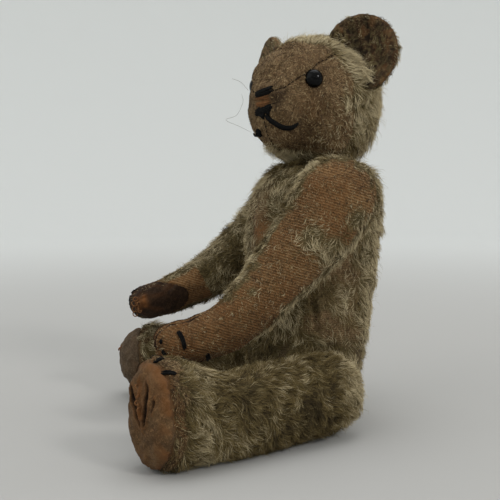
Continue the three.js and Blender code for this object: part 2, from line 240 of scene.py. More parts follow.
def write(mesh, name, values):
    """Stores a number, or a vector, for each vertex, in place of what the name held before."""
    values = np.asarray(values, np.float32)
    kind, slot = ("FLOAT", "value") if values.ndim == 1 else ("FLOAT_VECTOR", "vector")
    if name in mesh.attributes:
        mesh.attributes.remove(mesh.attributes[name])
    mesh.attributes.new(name, kind, "POINT").data.foreach_set(slot, values.ravel())


def added(name, mesh, *materials):
    obj = bpy.data.objects.new(name, mesh)
    bpy.context.scene.collection.objects.link(obj)
    mesh.materials.clear()
    for material in materials:
        mesh.materials.append(material)
    return obj


def changed(obj, *modifiers):
    """Puts these modifiers, given as (type, settings), on obj and applies them."""
    for kind, settings in modifiers:
        made = obj.modifiers.new(kind, kind)
        for key, value in settings.items():
            setattr(made, key, value)
    graph = bpy.context.evaluated_depsgraph_get()
    mesh = bpy.data.meshes.new_from_object(obj.evaluated_get(graph), depsgraph=graph)
    obj.modifiers.clear()
    old, obj.data = obj.data, mesh
    bpy.data.meshes.remove(old)
    mesh.polygons.foreach_set("use_smooth", np.ones(len(mesh.polygons), bool))
    return obj


def turned(profile, sides, closed=True):
    """Points, quads and tips of a form turned about Z from (radius, height) pairs.

    It starts on the axis, and ends there too if it is closed.
    """
    turn = np.linspace(0, 2 * math.pi, sides, endpoint=False)
    step = np.arange(sides)
    after = (step + 1) % sides
    rings = profile[1:-1] if closed else profile[1:]
    points = [(0, 0, profile[0][1])]
    for radius, height in rings:
        points += [(radius * math.cos(a), radius * math.sin(a), height) for a in turn]
    tips = [np.stack([0 * step, 1 + after, 1 + step], 1)]
    if closed:
        last = len(points)
        points.append((0, 0, profile[-1][1]))
        tips.append(np.stack([0 * step + last, last - sides + step, last - sides + after], 1))
    quads = [np.stack([1 + k * sides + step, 1 + k * sides + after, 1 + (k + 1) * sides + after,
                       1 + (k + 1) * sides + step], 1) for k in range(len(rings) - 1)]
    return np.array(points), np.concatenate(quads), np.concatenate(tips)


# ------------------------------------------------------------------ materials


class Paint:
    """Builds one material's nodes. Colours are linear."""

    def __init__(self, name, roughness=0.9, sheen=0.0, specular=0.3):
        self.material = bpy.data.materials.new(name)
        self.material.use_nodes = True
        self.tree = self.material.node_tree
        self.shader = self.tree.nodes["Principled BSDF"]
        self.shader.inputs["Roughness"].default_value = roughness
        self.shader.inputs["Sheen Weight"].default_value = sheen
        self.shader.inputs["Specular IOR Level"].default_value = specular

    def node(self, kind, output, inputs=(), **settings):
        made = self.tree.nodes.new(kind)
        for key, value in settings.items():
            setattr(made, key, value)
        for key, value in dict(inputs).items():
            self.feed(made.inputs[key], value)
        return made.outputs[output]

    def feed(self, socket, value):
        if isinstance(value, bpy.types.NodeSocket):
            self.tree.links.new(value, socket)
        elif hasattr(value, "__len__") and socket.type == "RGBA":
            socket.default_value = (*value, 1.0)
        else:
            socket.default_value = value

    def place(self):
        return self.node("ShaderNodeTexCoord", "Object")

    def stored(self, name, output="Fac"):
        return self.node("ShaderNodeAttribute", output, attribute_name=name)

    def noise(self, per_metre, detail=3.0, roughness=0.6, warp=0.0):
        settings = {"Vector": self.place(), "Scale": per_metre, "Detail": detail,
                    "Roughness": roughness, "Distortion": warp}
        return self.node("ShaderNodeTexNoise", "Fac", settings)

    def step(self, value, low, high):
        settings = {"Value": value, "From Min": low, "From Max": high}
        return self.node("ShaderNodeMapRange", "Result", settings, interpolation_type="SMOOTHSTEP")

    def maths(self, operation, a, b=0.0):
        return self.node("ShaderNodeMath", 0, {0: a, 1: b}, operation=operation)

    def mix(self, share, a, b, blend="MIX"):
        made = self.tree.nodes.new("ShaderNodeMix")
        made.data_type = "RGBA"
        made.blend_type = blend
        self.feed(made.inputs[0], share)
        self.feed(made.inputs[6], a)
        self.feed(made.inputs[7], b)
        return made.outputs[2]

    def over(self, ground, share, colour, most):
        """Lays a colour over ground where share is high, and nowhere more than most."""
        return self.mix(self.maths("MULTIPLY", share, most), ground, colour)

    def colour(self, value):
        self.feed(self.shader.inputs["Base Color"], value)

    def rough(self, value, low, high):
        settings = {"Value": value, "To Min": low, "To Max": high}
        self.feed(self.shader.inputs["Roughness"], self.node("ShaderNodeMapRange", "Result", settings))

    def bump(self, height, depth_mm, strength=1.0):
        settings = {"Height": height, "Distance": depth_mm * MM, "Strength": strength}
        self.feed(self.shader.inputs["Normal"], self.node("ShaderNodeBump", "Normal", settings))


def ribbed(paint, pitch, weft_pitch):
    """Height of a ribbed weave from the cloth's own coordinates: ribs across, weft floats along."""
    cloth = paint.stored("cloth", "Vector")
    wobble = paint.noise(160.0, 2.0)
    split = paint.tree.nodes.new("ShaderNodeSeparateXYZ")
    paint.feed(split.inputs[0], cloth)
    along = paint.maths("ADD", split.outputs[0], paint.maths("MULTIPLY", wobble, 0.9))
    rib = paint.maths("SINE", paint.maths("MULTIPLY", along, 2 * math.pi / pitch))
    weft = paint.maths("SINE", paint.maths("MULTIPLY", split.outputs[1], 2 * math.pi / weft_pitch))
    return paint.maths("ADD", rib, paint.maths("MULTIPLY", weft, 0.45))


def backing_cloth(name, brown, tan, pitch, depth, rib_share):
    """The woven ground that the pile has worn away from, with the pile's colour where it hasn't."""
    paint = Paint(name, 0.95, 0.03, 0.12)
    weave = ribbed(paint, pitch, pitch * 0.55)
    grain = paint.noise(1400.0, 3.0, 0.75)
    blotch = paint.noise(60.0, 4.0, 0.65, warp=0.4)
    ground = paint.mix(paint.step(blotch, 0.35, 0.68), brown, tan)
    # Painted light and shade of the weave: lighter rib tops, darker hollows between them, and paler colour
    # on the highest rib tops.
    lit = paint.mix(paint.step(weave, -0.9, 1.2), (0.6, 0.55, 0.5), (1.25, 1.22, 1.18))
    ground = paint.mix(rib_share, ground, paint.mix(1.0, ground, lit, "MULTIPLY"))
    ground = paint.over(ground, paint.step(weave, 0.55, 1.25), (0.36, 0.25, 0.135), 0.38 * rib_share)
    ground = paint.over(ground, paint.step(grain, 0.5, 0.64), (0.33, 0.225, 0.12), 0.5)
    dark = paint.step(paint.noise(620.0, 5.0, 0.8), 0.49, 0.62)
    ground = paint.over(ground, dark, (0.04, 0.022, 0.01), 0.7)
    ground = paint.mix(paint.stored("orange"), ground, (0.19, 0.082, 0.028))
    # Darkened by dirt, and by shade painted round the eyes, in creases and where covers meet.
    ground = paint.mix(paint.stored("dirt_and_shade"), ground, (0.016, 0.01, 0.006))
    ground = paint.mix(paint.stored("furred"), ground, (0.105, 0.08, 0.036))
    paint.colour(ground)
    paint.rough(grain, 0.85, 1.0)
    ribs, fibres = paint.maths("MULTIPLY", weave, rib_share), paint.maths("MULTIPLY", grain, 1.8)
    paint.bump(paint.maths("ADD", ribs, fibres), depth, 0.8)
    return paint.material


def pile(name, dark, body, pale):
    """Matted mohair: each lock with its own tint, and painted shade that leaves each strand dusky at the
    root and paler at the tip.
    """
    paint = Paint(name, 0.7, 0.0, 0.2)
    tint = paint.stored("tint")
    lock = paint.mix(paint.step(tint, 0.0, 0.5), dark, body)
    lock = paint.mix(paint.step(tint, 0.45, 1.0), lock, pale)
    lock = paint.over(lock, paint.step(paint.noise(45.0, 3.0), 0.5, 0.75), (0.18, 0.14, 0.07), 0.25)
    # Painted shade: each strand darkens towards its root.
    shade = paint.mix(paint.step(paint.stored("tip"), 0.0, 0.7), (0.42, 0.38, 0.32), (1.0, 1.0, 1.0))
    paint.colour(paint.mix(1.0, lock, shade, "MULTIPLY"))
    return paint.material


def felt(name, brown, worn, fluff):
    """Wool felt: patchy brown, with fluff on it, orange where it is worn, and with painted shade where it is
    torn open.
    """
    paint = Paint(name, 0.97, 0.03, 0.08)
    fibre = paint.noise(1100.0, 4.0, 0.75, warp=1.2)
    patch = paint.noise(170.0, 6.0, 0.75)
    ground = paint.mix(paint.step(patch, 0.35, 0.7), brown, worn)
    ground = paint.over(ground, paint.step(fibre, 0.46, 0.66), fluff, 0.6)
    ground = paint.mix(paint.stored("orange"), ground, (0.18, 0.072, 0.023))
    # Painted shade inside the slits, where the felt is torn open.
    ground = paint.mix(paint.stored("dirt_and_shade"), ground, (0.007, 0.004, 0.003))
    paint.colour(ground)
    paint.rough(fibre, 0.85, 1.0)
    height = paint.maths("ADD", fibre, paint.maths("MULTIPLY", patch, 1.4))
    paint.bump(height, 0.5, 1.0)
    return paint.material


def cotton(name, ink, lit):
    """Twisted thread."""
    paint = Paint(name, 0.8, 0.0, 0.12)
    ply = paint.noise(2400.0, 2.0, 0.6, warp=1.5)
    paint.colour(paint.mix(paint.step(ply, 0.4, 0.75), ink, lit))
    paint.bump(ply, 0.15, 0.8)
    return paint.material


def black_glass():
    paint = Paint("black_glass", 0.05, 0.0, 0.12)
    paint.colour(paint.mix(paint.noise(300.0, 2.0), (0.0, 0.0, 0.0), (0.002, 0.002, 0.002)))
    paint.rough(paint.noise(900.0, 3.0), 0.02, 0.06)
    return paint.material


def fibrous(name, dark, pale, per_metre, detail, warp, depth):
    """Board or shavings, with one grain for both its colour and its height."""
    paint = Paint(name, 0.9)
    grain = paint.noise(per_metre, detail, 0.7, warp)
    paint.colour(paint.mix(grain, dark, pale))
    paint.bump(grain, depth)
    return paint.material


def rusty_steel():
    paint = Paint("rusty_steel", 0.4)
    paint.shader.inputs["Metallic"].default_value = 1.0
    spot = paint.noise(700.0, 5.0, 0.7)
    paint.colour(paint.mix(paint.step(spot, 0.5, 0.65), (0.42, 0.4, 0.38), (0.16, 0.07, 0.03)))
    paint.rough(spot, 0.3, 0.8)
    paint.bump(spot, 0.05)
    return paint.material


def pale_floor():
    """Grey under the bear and whiter further out: painted light, as on a sheet that rises towards the light.
    """
    paint = Paint("pale_floor", 0.85, 0.0, 0.2)
    reach = paint.node("ShaderNodeVectorMath", "Value", {0: paint.place()}, operation="LENGTH")
    near_by = paint.mix(paint.noise(3.0, 3.0), (0.43, 0.425, 0.412), (0.46, 0.453, 0.438))
    # Painted light: the floor whitens with distance from the bear.
    paint.colour(paint.mix(paint.step(reach, 0.1, 1.35), near_by, (0.8, 0.81, 0.8)))
    return paint.material


CLOTH_ARM = backing_cloth("backing_arm", (0.14, 0.066, 0.023), (0.23, 0.124, 0.049), 1.02, 0.2, 0.85)
CLOTH_FACE = backing_cloth("backing_face", (0.12, 0.07, 0.033), (0.225, 0.148, 0.078), 0.62, 0.15, 0.25)
CLOTH_BODY = backing_cloth("backing_body", (0.11, 0.07, 0.034), (0.185, 0.12, 0.064), 0.9, 0.14, 0.5)
CLOTH_EAR = backing_cloth("backing_ear", (0.03, 0.017, 0.009), (0.115, 0.07, 0.036), 0.7, 0.16, 0.15)
MOHAIR = pile("mohair", (0.042, 0.028, 0.01), (0.18, 0.128, 0.046), (0.58, 0.485, 0.3))
STUBBLE = pile("stubble", (0.035, 0.019, 0.007), (0.17, 0.098, 0.038), (0.5, 0.37, 0.2))
PAW_FELT = felt("paw_felt", (0.016, 0.008, 0.0045), (0.034, 0.018, 0.009), (0.07, 0.04, 0.022))
SOLE_FELTS = {
    "left": felt("sole_felt", (0.075, 0.042, 0.019), (0.145, 0.082, 0.038), (0.26, 0.15, 0.07)),
    "right": felt("dusty_felt", (0.065, 0.043, 0.027), (0.13, 0.088, 0.054), (0.2, 0.15, 0.095)),
}
SOLE_ORANGE = {"left": 0.7, "right": 0.15}  # how much of the worn felt's orange shows
BLACK_THREAD = cotton("black_thread", (0.001, 0.001, 0.001), (0.008, 0.007, 0.006))
BROWN_THREAD = cotton("brown_thread", (0.012, 0.008, 0.005), (0.035, 0.022, 0.013))
ORANGE_THREAD = cotton("orange_thread", (0.13, 0.055, 0.02), (0.27, 0.13, 0.055))
FINE_HAIR = cotton("fine_hair", (0.1, 0.08, 0.05), (0.2, 0.16, 0.1))
BLACK_GLASS = black_glass()

# ------------------------------------------------------------------ sewn forms

PLUG = {"radius": 8.0, "near": 0.5, "far": 8.0}  # mm, filling the room behind a joint's face
LET_OUT = 0.6  # mm that the stuffing is let out, to close up with the cover's wall
JOINT_GAP = 0.5
FORMS = {
    "torso": {"nodes": ["torso_cover"], "voxel": 2.0, "relax": 14},
    "head": {"nodes": ["head_cover"], "voxel": 1.6, "relax": 14},
}
for word in SIDES:
    FORMS[f"arm_{word}"] = {
        "nodes": [f"arm_cover_{word}", f"paw_pad_{word}"], "voxel": 1.5, "relax": 14}
    FORMS[f"leg_{word}"] = {
        "nodes": [f"leg_cover_{word}", f"foot_pad_{word}"], "voxel": 1.9, "relax": 12}
PRESSURE, LAST_FRAME, MOST_SWELL = 4.0, 20, 0.9
SWELL_SHARE = 0.45  # of the room between two covers, so that they don't meet


def joint_faces(body):
    """The middle of each joint face of a body, and the way from there into it."""
    for hinge in frame["joints"]:
        place, axis = np.array(hinge["pos_m"]) / MM, np.array(hinge["axis"], float)
        if hinge["child"] != "head":
            axis *= np.sign(axis[0] * place[0])
        if body == hinge["parent"]:
            yield place, -axis
        elif body == hinge["child"]:
            yield place + axis * JOINT_GAP, axis


def rough_form(body):
    """One closed skin round a body's cover and pad, with all that is hollow inside filled."""
    bm = bmesh.new()
    for node in FORMS[body]["nodes"]:
        bm.from_mesh(frame["nodes"][node].data)
    filling = frame["nodes"][FORMS[body]["nodes"][0].replace("cover", "stuffing")].data.copy()
    set_points(filling, points_of(filling) + normals_of(filling) * LET_OUT * MM)
    bm.from_mesh(filling)
    bpy.data.meshes.remove(filling)
    radius, near_end, far_end = PLUG["radius"] * MM, PLUG["near"], PLUG["far"]
    for place, inward in joint_faces(body):
        turn = Vector(inward).to_track_quat("Z", "Y").to_matrix().to_4x4()
        middle = Vector(place + inward * (near_end + far_end) / 2) * MM
        bmesh.ops.create_cone(
            bm, cap_ends=True, segments=24, radius1=radius, radius2=radius,
            depth=(far_end - near_end) * MM, matrix=Matrix.Translation(middle) @ turn)
    form = FORMS[body]
    return changed(
        added(f"{body}_skin", mesh_from(bm, body)),
        ("REMESH", {"mode": "VOXEL", "voxel_size": form["voxel"] * MM}),
        ("SMOOTH", {"factor": 0.5, "iterations": form["relax"]}),
    )


def tree_of(obj):
    mesh = obj.data
    return BVHTree.FromPolygons([v.co for v in mesh.vertices], [p.vertices for p in mesh.polygons])


def room_around(points, trees):
    """How far each point is from the nearest of these surfaces, in metres."""
    room = np.full(len(points), 1.0)
    for tree in trees:
        found = [tree.find_nearest(Vector(p), 0.01)[3] for p in points]
        room = np.minimum(room, [1.0 if d is None else d for d in found])
    return room


def stuff(skins):
    """Blows the covers up a little, as packed shavings press on the cloth, and settles them there."""
    before = {body: points_of(skin.data) for body, skin in skins.items()}
    trees = {body: tree_of(skin) for body, skin in skins.items()}
    for skin in skins.values():
        cloth = skin.modifiers.new("stuffing", "CLOTH").settings
        cloth.quality = 4
        cloth.mass = 0.2
        cloth.tension_stiffness = cloth.compression_stiffness = 22.0
        cloth.shear_stiffness = 8.0
        cloth.bending_stiffness = 0.4
        cloth.use_pressure = True
        cloth.uniform_pressure_force = PRESSURE
        cloth.effector_weights.gravity = 0.0
    scene = bpy.context.scene
    for number in range(1, LAST_FRAME + 1):
        scene.frame_set(number)
    for body, skin in skins.items():
        changed(skin)
        move = points_of(skin.data) - before[body]
        others = [tree for name, tree in trees.items() if name != body]
        limit = np.clip(room_around(before[body], others) * SWELL_SHARE, 0, MOST_SWELL * MM)
        far = np.linalg.norm(move, axis=1)
        move *= np.minimum(1, limit / np.maximum(far, 1e-9))[:, None]
        set_points(skin.data, before[body] + move)
    scene.frame_set(1)


SKINS = {body: rough_form(body) for body in FORMS}
stuff(SKINS)
for skin in SKINS.values():
    changed(skin, ("SUBSURF", {"levels": 1}))

# ------------------------------------------------------------------ lines that the cloth is sewn along

ARM_LINES = {
    "arm_left": bend((0, 0, 0), (0, -32, -54), (0, -76, -54)),
    "arm_right": bend((0, 0, 0), (0, -38, -44), (0, -83, -50)),
}
ARM_MIDDLE, LEG_MIDDLE = 12.5, 11.7
SOLE_SEAM = {"left": -76.4, "right": -64.0}

# The head's gusset is seamed from beside the nose, over the eye, to the inner edge of the ear.
GUSSET = [(5.1, -31, 27.6), (8.7, -29.2, 29), (11.4, -26.5, 31.7), (14.3, -22.3, 34.8),
          (15.9, -17, 39), (17.1, -11, 42), (17, -5, 44)]
CHIN_SEAM = [(0.2, -33, 18), (0.1, -32.5, 12), (0, -28, 6), (0, -20, 1.5)]
EYE_AT = PLACES["head"].local(middle_of("eye_left"))


def mirrored(points):
    return [(-x, y, z) for x, y, z in points]


def side_of(body):
    """1 for a limb on the bear's left, -1 for one on its right."""
    return SIDES[body.split("_")[1]]


def cloth_lines(body, local):
    """The cloth's own coordinates, in mm: across its ribs, and along them."""
    x, y, z = local.T
    if body.startswith("arm"):
        return z + 0.3 * y, y - 0.3 * z
    if body.startswith("leg"):
        return y + 0.1 * x, z - 0.6 * x
    if body == "head":
        return z + 0.2 * y, x - 0.9 * y
    return z, y - 0.9 * x


def seam_dent(distance, depth=0.5, half=0.8, ridge=0.3):
    """A stitched seam: the cloth dips along the thread and swells a little on both sides."""
    return ridge * bell(distance - 2 * half, half) - depth * bell(distance, half)


CREASES = {
    "torso": [([(21.5, -5, 58), (22, -4.6, 48), (22, -3.6, 39)], 1.0)],
    "head": [([(17.5, -19, 31), (18.6, -18, 25), (17.8, -17.6, 19)], 0.35)],
    "arm_left": [([(16, -46, -36), (20, -49, -44), (19, -53, -52)], 0.5),
                 ([(21, 6, -14), (22, 0, -20), (20, -4, -27)], 0.4)],
    "arm_right": [([(-6, -60, -36), (-3, -62, -44), (-6, -64, -52)], 0.5)],
    "leg_left": [([(20, -48, 12), (24, -46, 4), (24, -50, -6)], 0.7)],
    "leg_right": [],
}
BROW = {1: 0.8, -1: 1.8}
# where the head bulges: a spot, its radius and its rise
STUFFED_OUT = [(22.5, 3, 32, 6.5, 3.2), (-6, -21, 4, 6, 2.4), (12, 20, 6, 7, 2.8)]


def sculpt(body, local, normal):
    """How far out each point of a body's cover stands, in mm."""
    x, y, z = local.T
    out = 0.35 * ripple(local, 17, 3) + 0.18 * ripple(local, 6, 4)
    for line, depth in CREASES[body]:
        out += seam_dent(off_line(local, curve(line))[0], depth, 1.1, 0.4 * depth)
    if body == "torso":
        out = out * 1.5
        out += seam_dent(np.abs(x)) * smooth(0.2, 0.6, np.abs(normal[:, 1]))
        out += 2.4 * near(local, (8, 23, 99), 7) * smooth(104.5, 101, z)
        out -= 2.2 * near(local, (-4, -21, 102), 8)
    elif body.startswith("arm"):
        out += seam_dent(np.abs(x - side_of(body) * ARM_MIDDLE), 0.6, 0.8, 0.55)
    elif body.startswith("leg"):
        top_or_heel = smooth(0.3, 0.7, np.abs(normal[:, 2]))
        out += seam_dent(np.abs(x - side_of(body) * LEG_MIDDLE)) * top_or_heel
        seam = SOLE_SEAM[body.split("_")[1]]
        out += seam_dent(np.abs(y - seam), 0.8, 0.9, 0.2)
    else:
        for line in (GUSSET, mirrored(GUSSET), CHIN_SEAM):
            out += seam_dent(off_line(local, curve(line))[0], 0.6, 0.6, 0.25)
        for side in SIDES.values():
            eye = EYE_AT * (side, 1, 1)
            out -= 1.2 * near(local, eye, 4.4)
            out += 0.7 * near(local, eye + (1.5 * side, 2, 9), 5.5)
            out += BROW[side] * near(local, (13 * side, -23, 37.5), 5.0)
            out += 0.5 * near(local, (9 * side, -29, 20), 4.5)
        out -= 0.5 * near(local, (0, -34, 23.5), 3.0)
        for *spot, radius, rise in STUFFED_OUT:
            out += rise * near(local, spot, radius)
    return out


# ------------------------------------------------------------------ where the pile is left

EAR_EDGE = [(17, -6, 43), (20.5, -3, 38.5), (23, 1, 33)]  # where long pile hangs before the left ear


def coat_head(local, normal):
    """(share of pile left, share of stubble, the pile's length, its lay, how pale it is)."""
    x, y, z = local.T
    rag = 2.2 * ripple(local, 8, 21)
    edge = -6.5 + 5 * smooth(24, 12, z) - 8 * smooth(43, 49, z)
    back = smooth(edge - 4, edge + 4, y + rag)
    chin = smooth(10, 4, z + 0.35 * np.maximum(x, 0) + 0.5 * rag) * smooth(-34, -27, y)
    cheek = 0.12 * smooth(-21, -9, y) * smooth(31, 22, z)
    left = np.maximum.reduce([back * (1 - 0.35 * smooth(20, 10, z)), 0.9 * chin, cheek])
    nape = smooth(8, 16, y) * smooth(24, 10, z)
    under_ear = beside(local, EAR_EDGE, 4.5)
    beard = near(local, (-7, -23, 5), 7)
    left = np.maximum(left, 0.9 * under_ear)
    length = 2.4 + 2.6 * back + 2.6 * chin + 2.6 * nape + 3.4 * under_ear + 3.8 * beard
    lay = np.tile((0.0, 0.3, -1.0), (len(x), 1))
    lay = np.where((normal[:, 2] > 0.6)[:, None], (0.2, 1, -0.2), lay)
    lay = np.where((chin > 0.3)[:, None], (0, -0.1, -1), lay)
    lay = np.where((under_ear > 0.35)[:, None], (0.76, 0.5, -0.75), lay)
    pale = 0.76 + 0.18 * ripple(local, 14, 22) + 0.1 * smooth(30, 40, z) - 0.12 * chin
    pale += 0.12 * (back < 0.3)
    pale += 0.2 * under_ear + 0.12 * back * smooth(8, 16, z) + 0.35 * beard
    return left, 1 - left, length, lay, pale


def coat_torso(local, normal):
    x, y, z = local.T
    patch = ripple(local, 24, 31) + 0.4 * ripple(local, 8, 32)
    back = smooth(4, 16, y)
    left = 0.3 + 0.7 * smooth(-0.6, 0.4, patch + 0.5 * back)
    flank = smooth(13, 19, x) * smooth(-14, -6, y) * smooth(21, 15, y)
    flank *= smooth(33, 38, z) * smooth(86, 78, z)
    left = left * (1 - 0.6 * flank) * (1 - 0.75 * near(local, (10, -25, 79), 8))
    length = 3.2 + 1.4 * left + 1.4 * flank + 1.8 * smooth(90, 99, z)
    lay = np.stack([0.25 * np.sign(x), 0.2 + 0 * x, -1 + 0 * x], 1)
    # Painted shade: the pile is darker in the crease above the legs and under the head.
    crease = smooth(37, 31, z) * smooth(24, 14, y) + smooth(96, 103, z)
    pale = 0.8 + 0.2 * ripple(local, 16, 33) + 0.32 * back - 0.3 * crease - 0.2 * flank
    pale += 0.2 * smooth(34, 22, z) * smooth(2, 14, y) + 0.5 * near(local, (-4, -21, 98), 10)
    return left, 1 - left, length, lay, pale


# the pile that is left on the bald arm: a spot, its radius and its share
ARM_TUFTS = [(22.3, -11.5, -15, 5.0, 0.85), (21.3, -4, -20, 6.0, 0.95), (20.5, 6, -8, 5.0, 0.7),
             (19.9, -34, -34, 2.2, 0.6), (20.5, -45, -44, 2.0, 0.3)]


def coat_arm(local, normal, body):
    side = side_of(body)
    out = normal[:, 0] * side
    line = ARM_LINES[body]
    _, along = off_line(local * (0, 1, 1), line)
    wrist = smooth(52, 66, along)
    rag = 0.14 * ripple(local, 6, 41)
    pad = smooth(0.3, 0.7, -out) * smooth(54, 58, along)
    if side > 0:
        hem = smooth(0.0, 0.5, normal[:, 1]) * smooth(60, 42, along)
        left = 1 - smooth(0.1, 0.66, out + rag - 0.2 * hem)
        left *= 1 - 0.9 * wrist
        for *spot, radius, share in ARM_TUFTS:
            left = np.maximum(left, share * near(local, spot, radius))
        left = np.maximum(left, 0.02)
    else:
        inner = smooth(0.35, 0.8, -out) * smooth(30, 10, along)
        left = (1 - 0.8 * inner) * (1 - 0.8 * smooth(64, 78, along))
    left *= 1 - pad
    length = (2.6 + 2.2 * np.clip(left, 0, 1)) * (1 - 0.35 * wrist)
    ahead = unit(np.gradient(line, axis=0))
    closest = np.linalg.norm((local * (0, 1, 1))[:, None] - line[None], axis=2).argmin(1)
    lay = ahead[closest] + (0, 0.1, -0.3)
    # Painted light: on the right arm the upward-facing top is paler.
    top = smooth(0.2, 0.8, normal[:, 2])
    pale = (0.86 if side > 0 else 0.5 + 0.45 * top) + 0.16 * ripple(local, 12, 42)
    return left, (1 - left) * (1 - pad), length, lay, pale


BALD_RING = {"left": 8.5, "right": 2.5}  # mm behind each sole that the pile is worn from


def coat_leg(local, normal, body):
    word = body.split("_")[1]
    x, y, z = local.T
    seam = SOLE_SEAM[word]
    foot = smooth(seam, seam + 1, y)
    rag = 2.2 * ripple(local, 6, 51) - 3 * smooth(0.3, 0.9, normal[:, 2]) * (word == "left")
    ring = smooth(seam + 1, seam + BALD_RING[word], y + rag)
    left = ring * (0.85 + 0.15 * ripple(local, 12, 52)) * foot
    length = 2.8 + 2.2 * ring
    lay = np.tile((0.0, 0.6, -0.7), (len(x), 1))
    dark = near(local, (24, -40, 2), 8) + near(local, (24, -16, -4), 9)
    dark += 0.6 * near(local, (22, -60, 11), 5)
    pale = 0.4 + 0.13 * ripple(local, 13, 53) - 0.25 * dark
    if word == "left":
        pale += 0.35 * near(local, (22, -62, -8), 9) + 0.42 * smooth(-8, 6, y)
        pale += 0.3 * near(local, (20, -64, 16), 7)
    else:
        pale += 0.5 * smooth(4, 12, z)
    return left, (1 - ring) * foot, length, lay, pale


def coat_of(body, local, normal):
    if body == "head":
        return coat_head(local, normal)
    if body == "torso":
        return coat_torso(local, normal)
    return (coat_arm if body.startswith("arm") else coat_leg)(local, normal, body)


CLOTHS = {"head": CLOTH_FACE, "torso": CLOTH_BODY, "arm": CLOTH_ARM, "leg": CLOTH_BODY}
TORSO_RUST = [(17.5, 20, 76, 3.5), (18, 17.5, 51, 4), (20, 10, 44, 3), (12, -25, 78, 5)]


def orange_of(body, local):
    """Where wear has brought up the ground's orange-brown."""
    _, y, z = local.T
    if body == "head":
        return 0.9 * near(local, (-0.5, -33, 24.2), 3.4) + 0.4 * near(local, (15.8, -22.5, 21), 5)
    if body == "torso":
        return np.clip(patches(local, TORSO_RUST), 0, 1) * 0.8
    if body.startswith("leg"):
        word = body.split("_")[1]
        seam = SOLE_SEAM[word]
        return SOLE_ORANGE[word] * smooth(seam + 9, seam + 3, y) * smooth(-0.6, 0.3, ripple(local, 7, 62))
    return 0.3 * smooth(-0.2, 0.6, ripple(local, 16, 63)) + 0.35 * smooth(-30, -50, z)


def dirt_and_shade_of(body, local):
    """Where the cover is darkened: dirt round the nose, a darker jaw, and painted shade round the eyes, in
    creases, on the cheek and where the head meets the torso; and darker towards the paws and beside the
    soles' seams.
    """
    _, y, z = local.T
    if body == "head":
        muzzle = 0.8 * near(local, (6.6, -31, 25.2), 3.8) + 0.4 * near(local, (-7.5, -29.5, 24), 3.2)
        # Painted shade in the crease below the left eye and on the left cheek.
        fold = 0.35 * near(local, (18.3, -18.3, 25), 3.5) + 0.4 * near(local, (14, -24, 16), 8)
        # Painted shade along the underside of the head where it meets the torso, and a darker patch on the
        # jaw.
        neck = 0.8 * smooth(5, 1.5, z) * smooth(-24, -14, y) + 0.4 * near(local, (9, -22, 5), 7)
        # Painted shade in the sockets round both eyes.
        socket_shade = sum(0.6 * near(local, EYE_AT * (side, 1, 1), 4.4) for side in SIDES.values())
        return np.clip(muzzle + fold + neck + socket_shade, 0, 1)
    if body == "torso":
        # Painted shade under the head and in the crease above the legs.
        return 0.35 * smooth(98, 104, z) + 0.6 * smooth(36, 31, z) * smooth(24, 14, y)
    if body.startswith("arm"):
        return 0.22 * smooth(-28, -48, z)
    return 0.35 * smooth(9, 1, y - SOLE_SEAM[body.split("_")[1]])


for body, skin in SKINS.items():
    mesh = skin.data
    points, normal, local, facing = surface(body, mesh)
    moved = points + normal * sculpt(body, local, facing)[:, None] * MM
    moved[:, 2] = np.maximum(moved[:, 2], 0.0)
    set_points(mesh, moved)
    across, along = cloth_lines(body, local)
    write(mesh, "cloth", np.stack([across, along, 0 * across], 1))
    write(mesh, "furred", smooth(0.1, 0.6, coat_of(body, local, facing)[0]))
    write(mesh, "orange", orange_of(body, local))
    write(mesh, "dirt_and_shade", dirt_and_shade_of(body, local))
    mesh.materials.clear()
    mesh.materials.append(CLOTHS[body.split("_")[0]])
    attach(skin, body)
    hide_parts(FORMS[body]["nodes"][0])

# ------------------------------------------------------------------ pile

# Each kind of strand: where along it its points are, half its width in mm, how far it stands up,
# how much it curls, how far it is drawn into its lock, its length as shares of the coat's, and how
# much the strands' tints differ.
KINDS = {
    "pile": {"levels": (0, 0.5, 1), "half": 0.1, "lift": 0.54, "curl": 0.14, "pull": 0.6,
             "share": (0.5, 1.2), "tints": 0.14},
    "down": {"levels": (0, 1), "half": 0.12, "lift": 0.7, "curl": 0.2, "pull": 0.3,
             "share": (0.3, 0.75), "tints": 0.14},
    "stubble": {"levels": (0, 1), "half": 0.12, "lift": 0.4, "curl": 0.0, "pull": 0.0,
                "share": (0.5, 1.5), "tints": 0.36},
    "wisps": {"levels": (0, 0.38, 0.72, 1), "half": 0.06, "lift": 0.85, "curl": 0.3, "pull": 0.0,
              "share": (0.6, 1.3), "tints": 0.2},
}
# leaders among the strands, how far one draws them in mm, and how much the locks' tints differ
LOCK = {"share": 0.05, "reach": 4.0, "tints": 0.17}
STUBBLE_LENGTH = 0.9
STUBBLE_PALE, STUBBLE_DIRT_AND_SHADE = 0.48, 0.55  # its tint, and how much dirt and painted shade take off it
JOINT_ROUND = 13.0  # mm round a joint where nothing can be seen between two covers


def seen_share(body, points):
    """1, or 0 where two jointed covers always lie against each other."""
    seen = np.ones(len(points))
    for hinge in frame["joints"]:
        if body in (hinge["parent"], hinge["child"]):
            axis = np.array(hinge["axis"], float)
            away = (points - np.array(hinge["pos_m"])) / MM
            along = away @ axis
            off = np.linalg.norm(away - along[:, None] * axis, axis=1)
            seen *= ~((off < JOINT_ROUND) & (np.abs(along) < 3))
    return seen


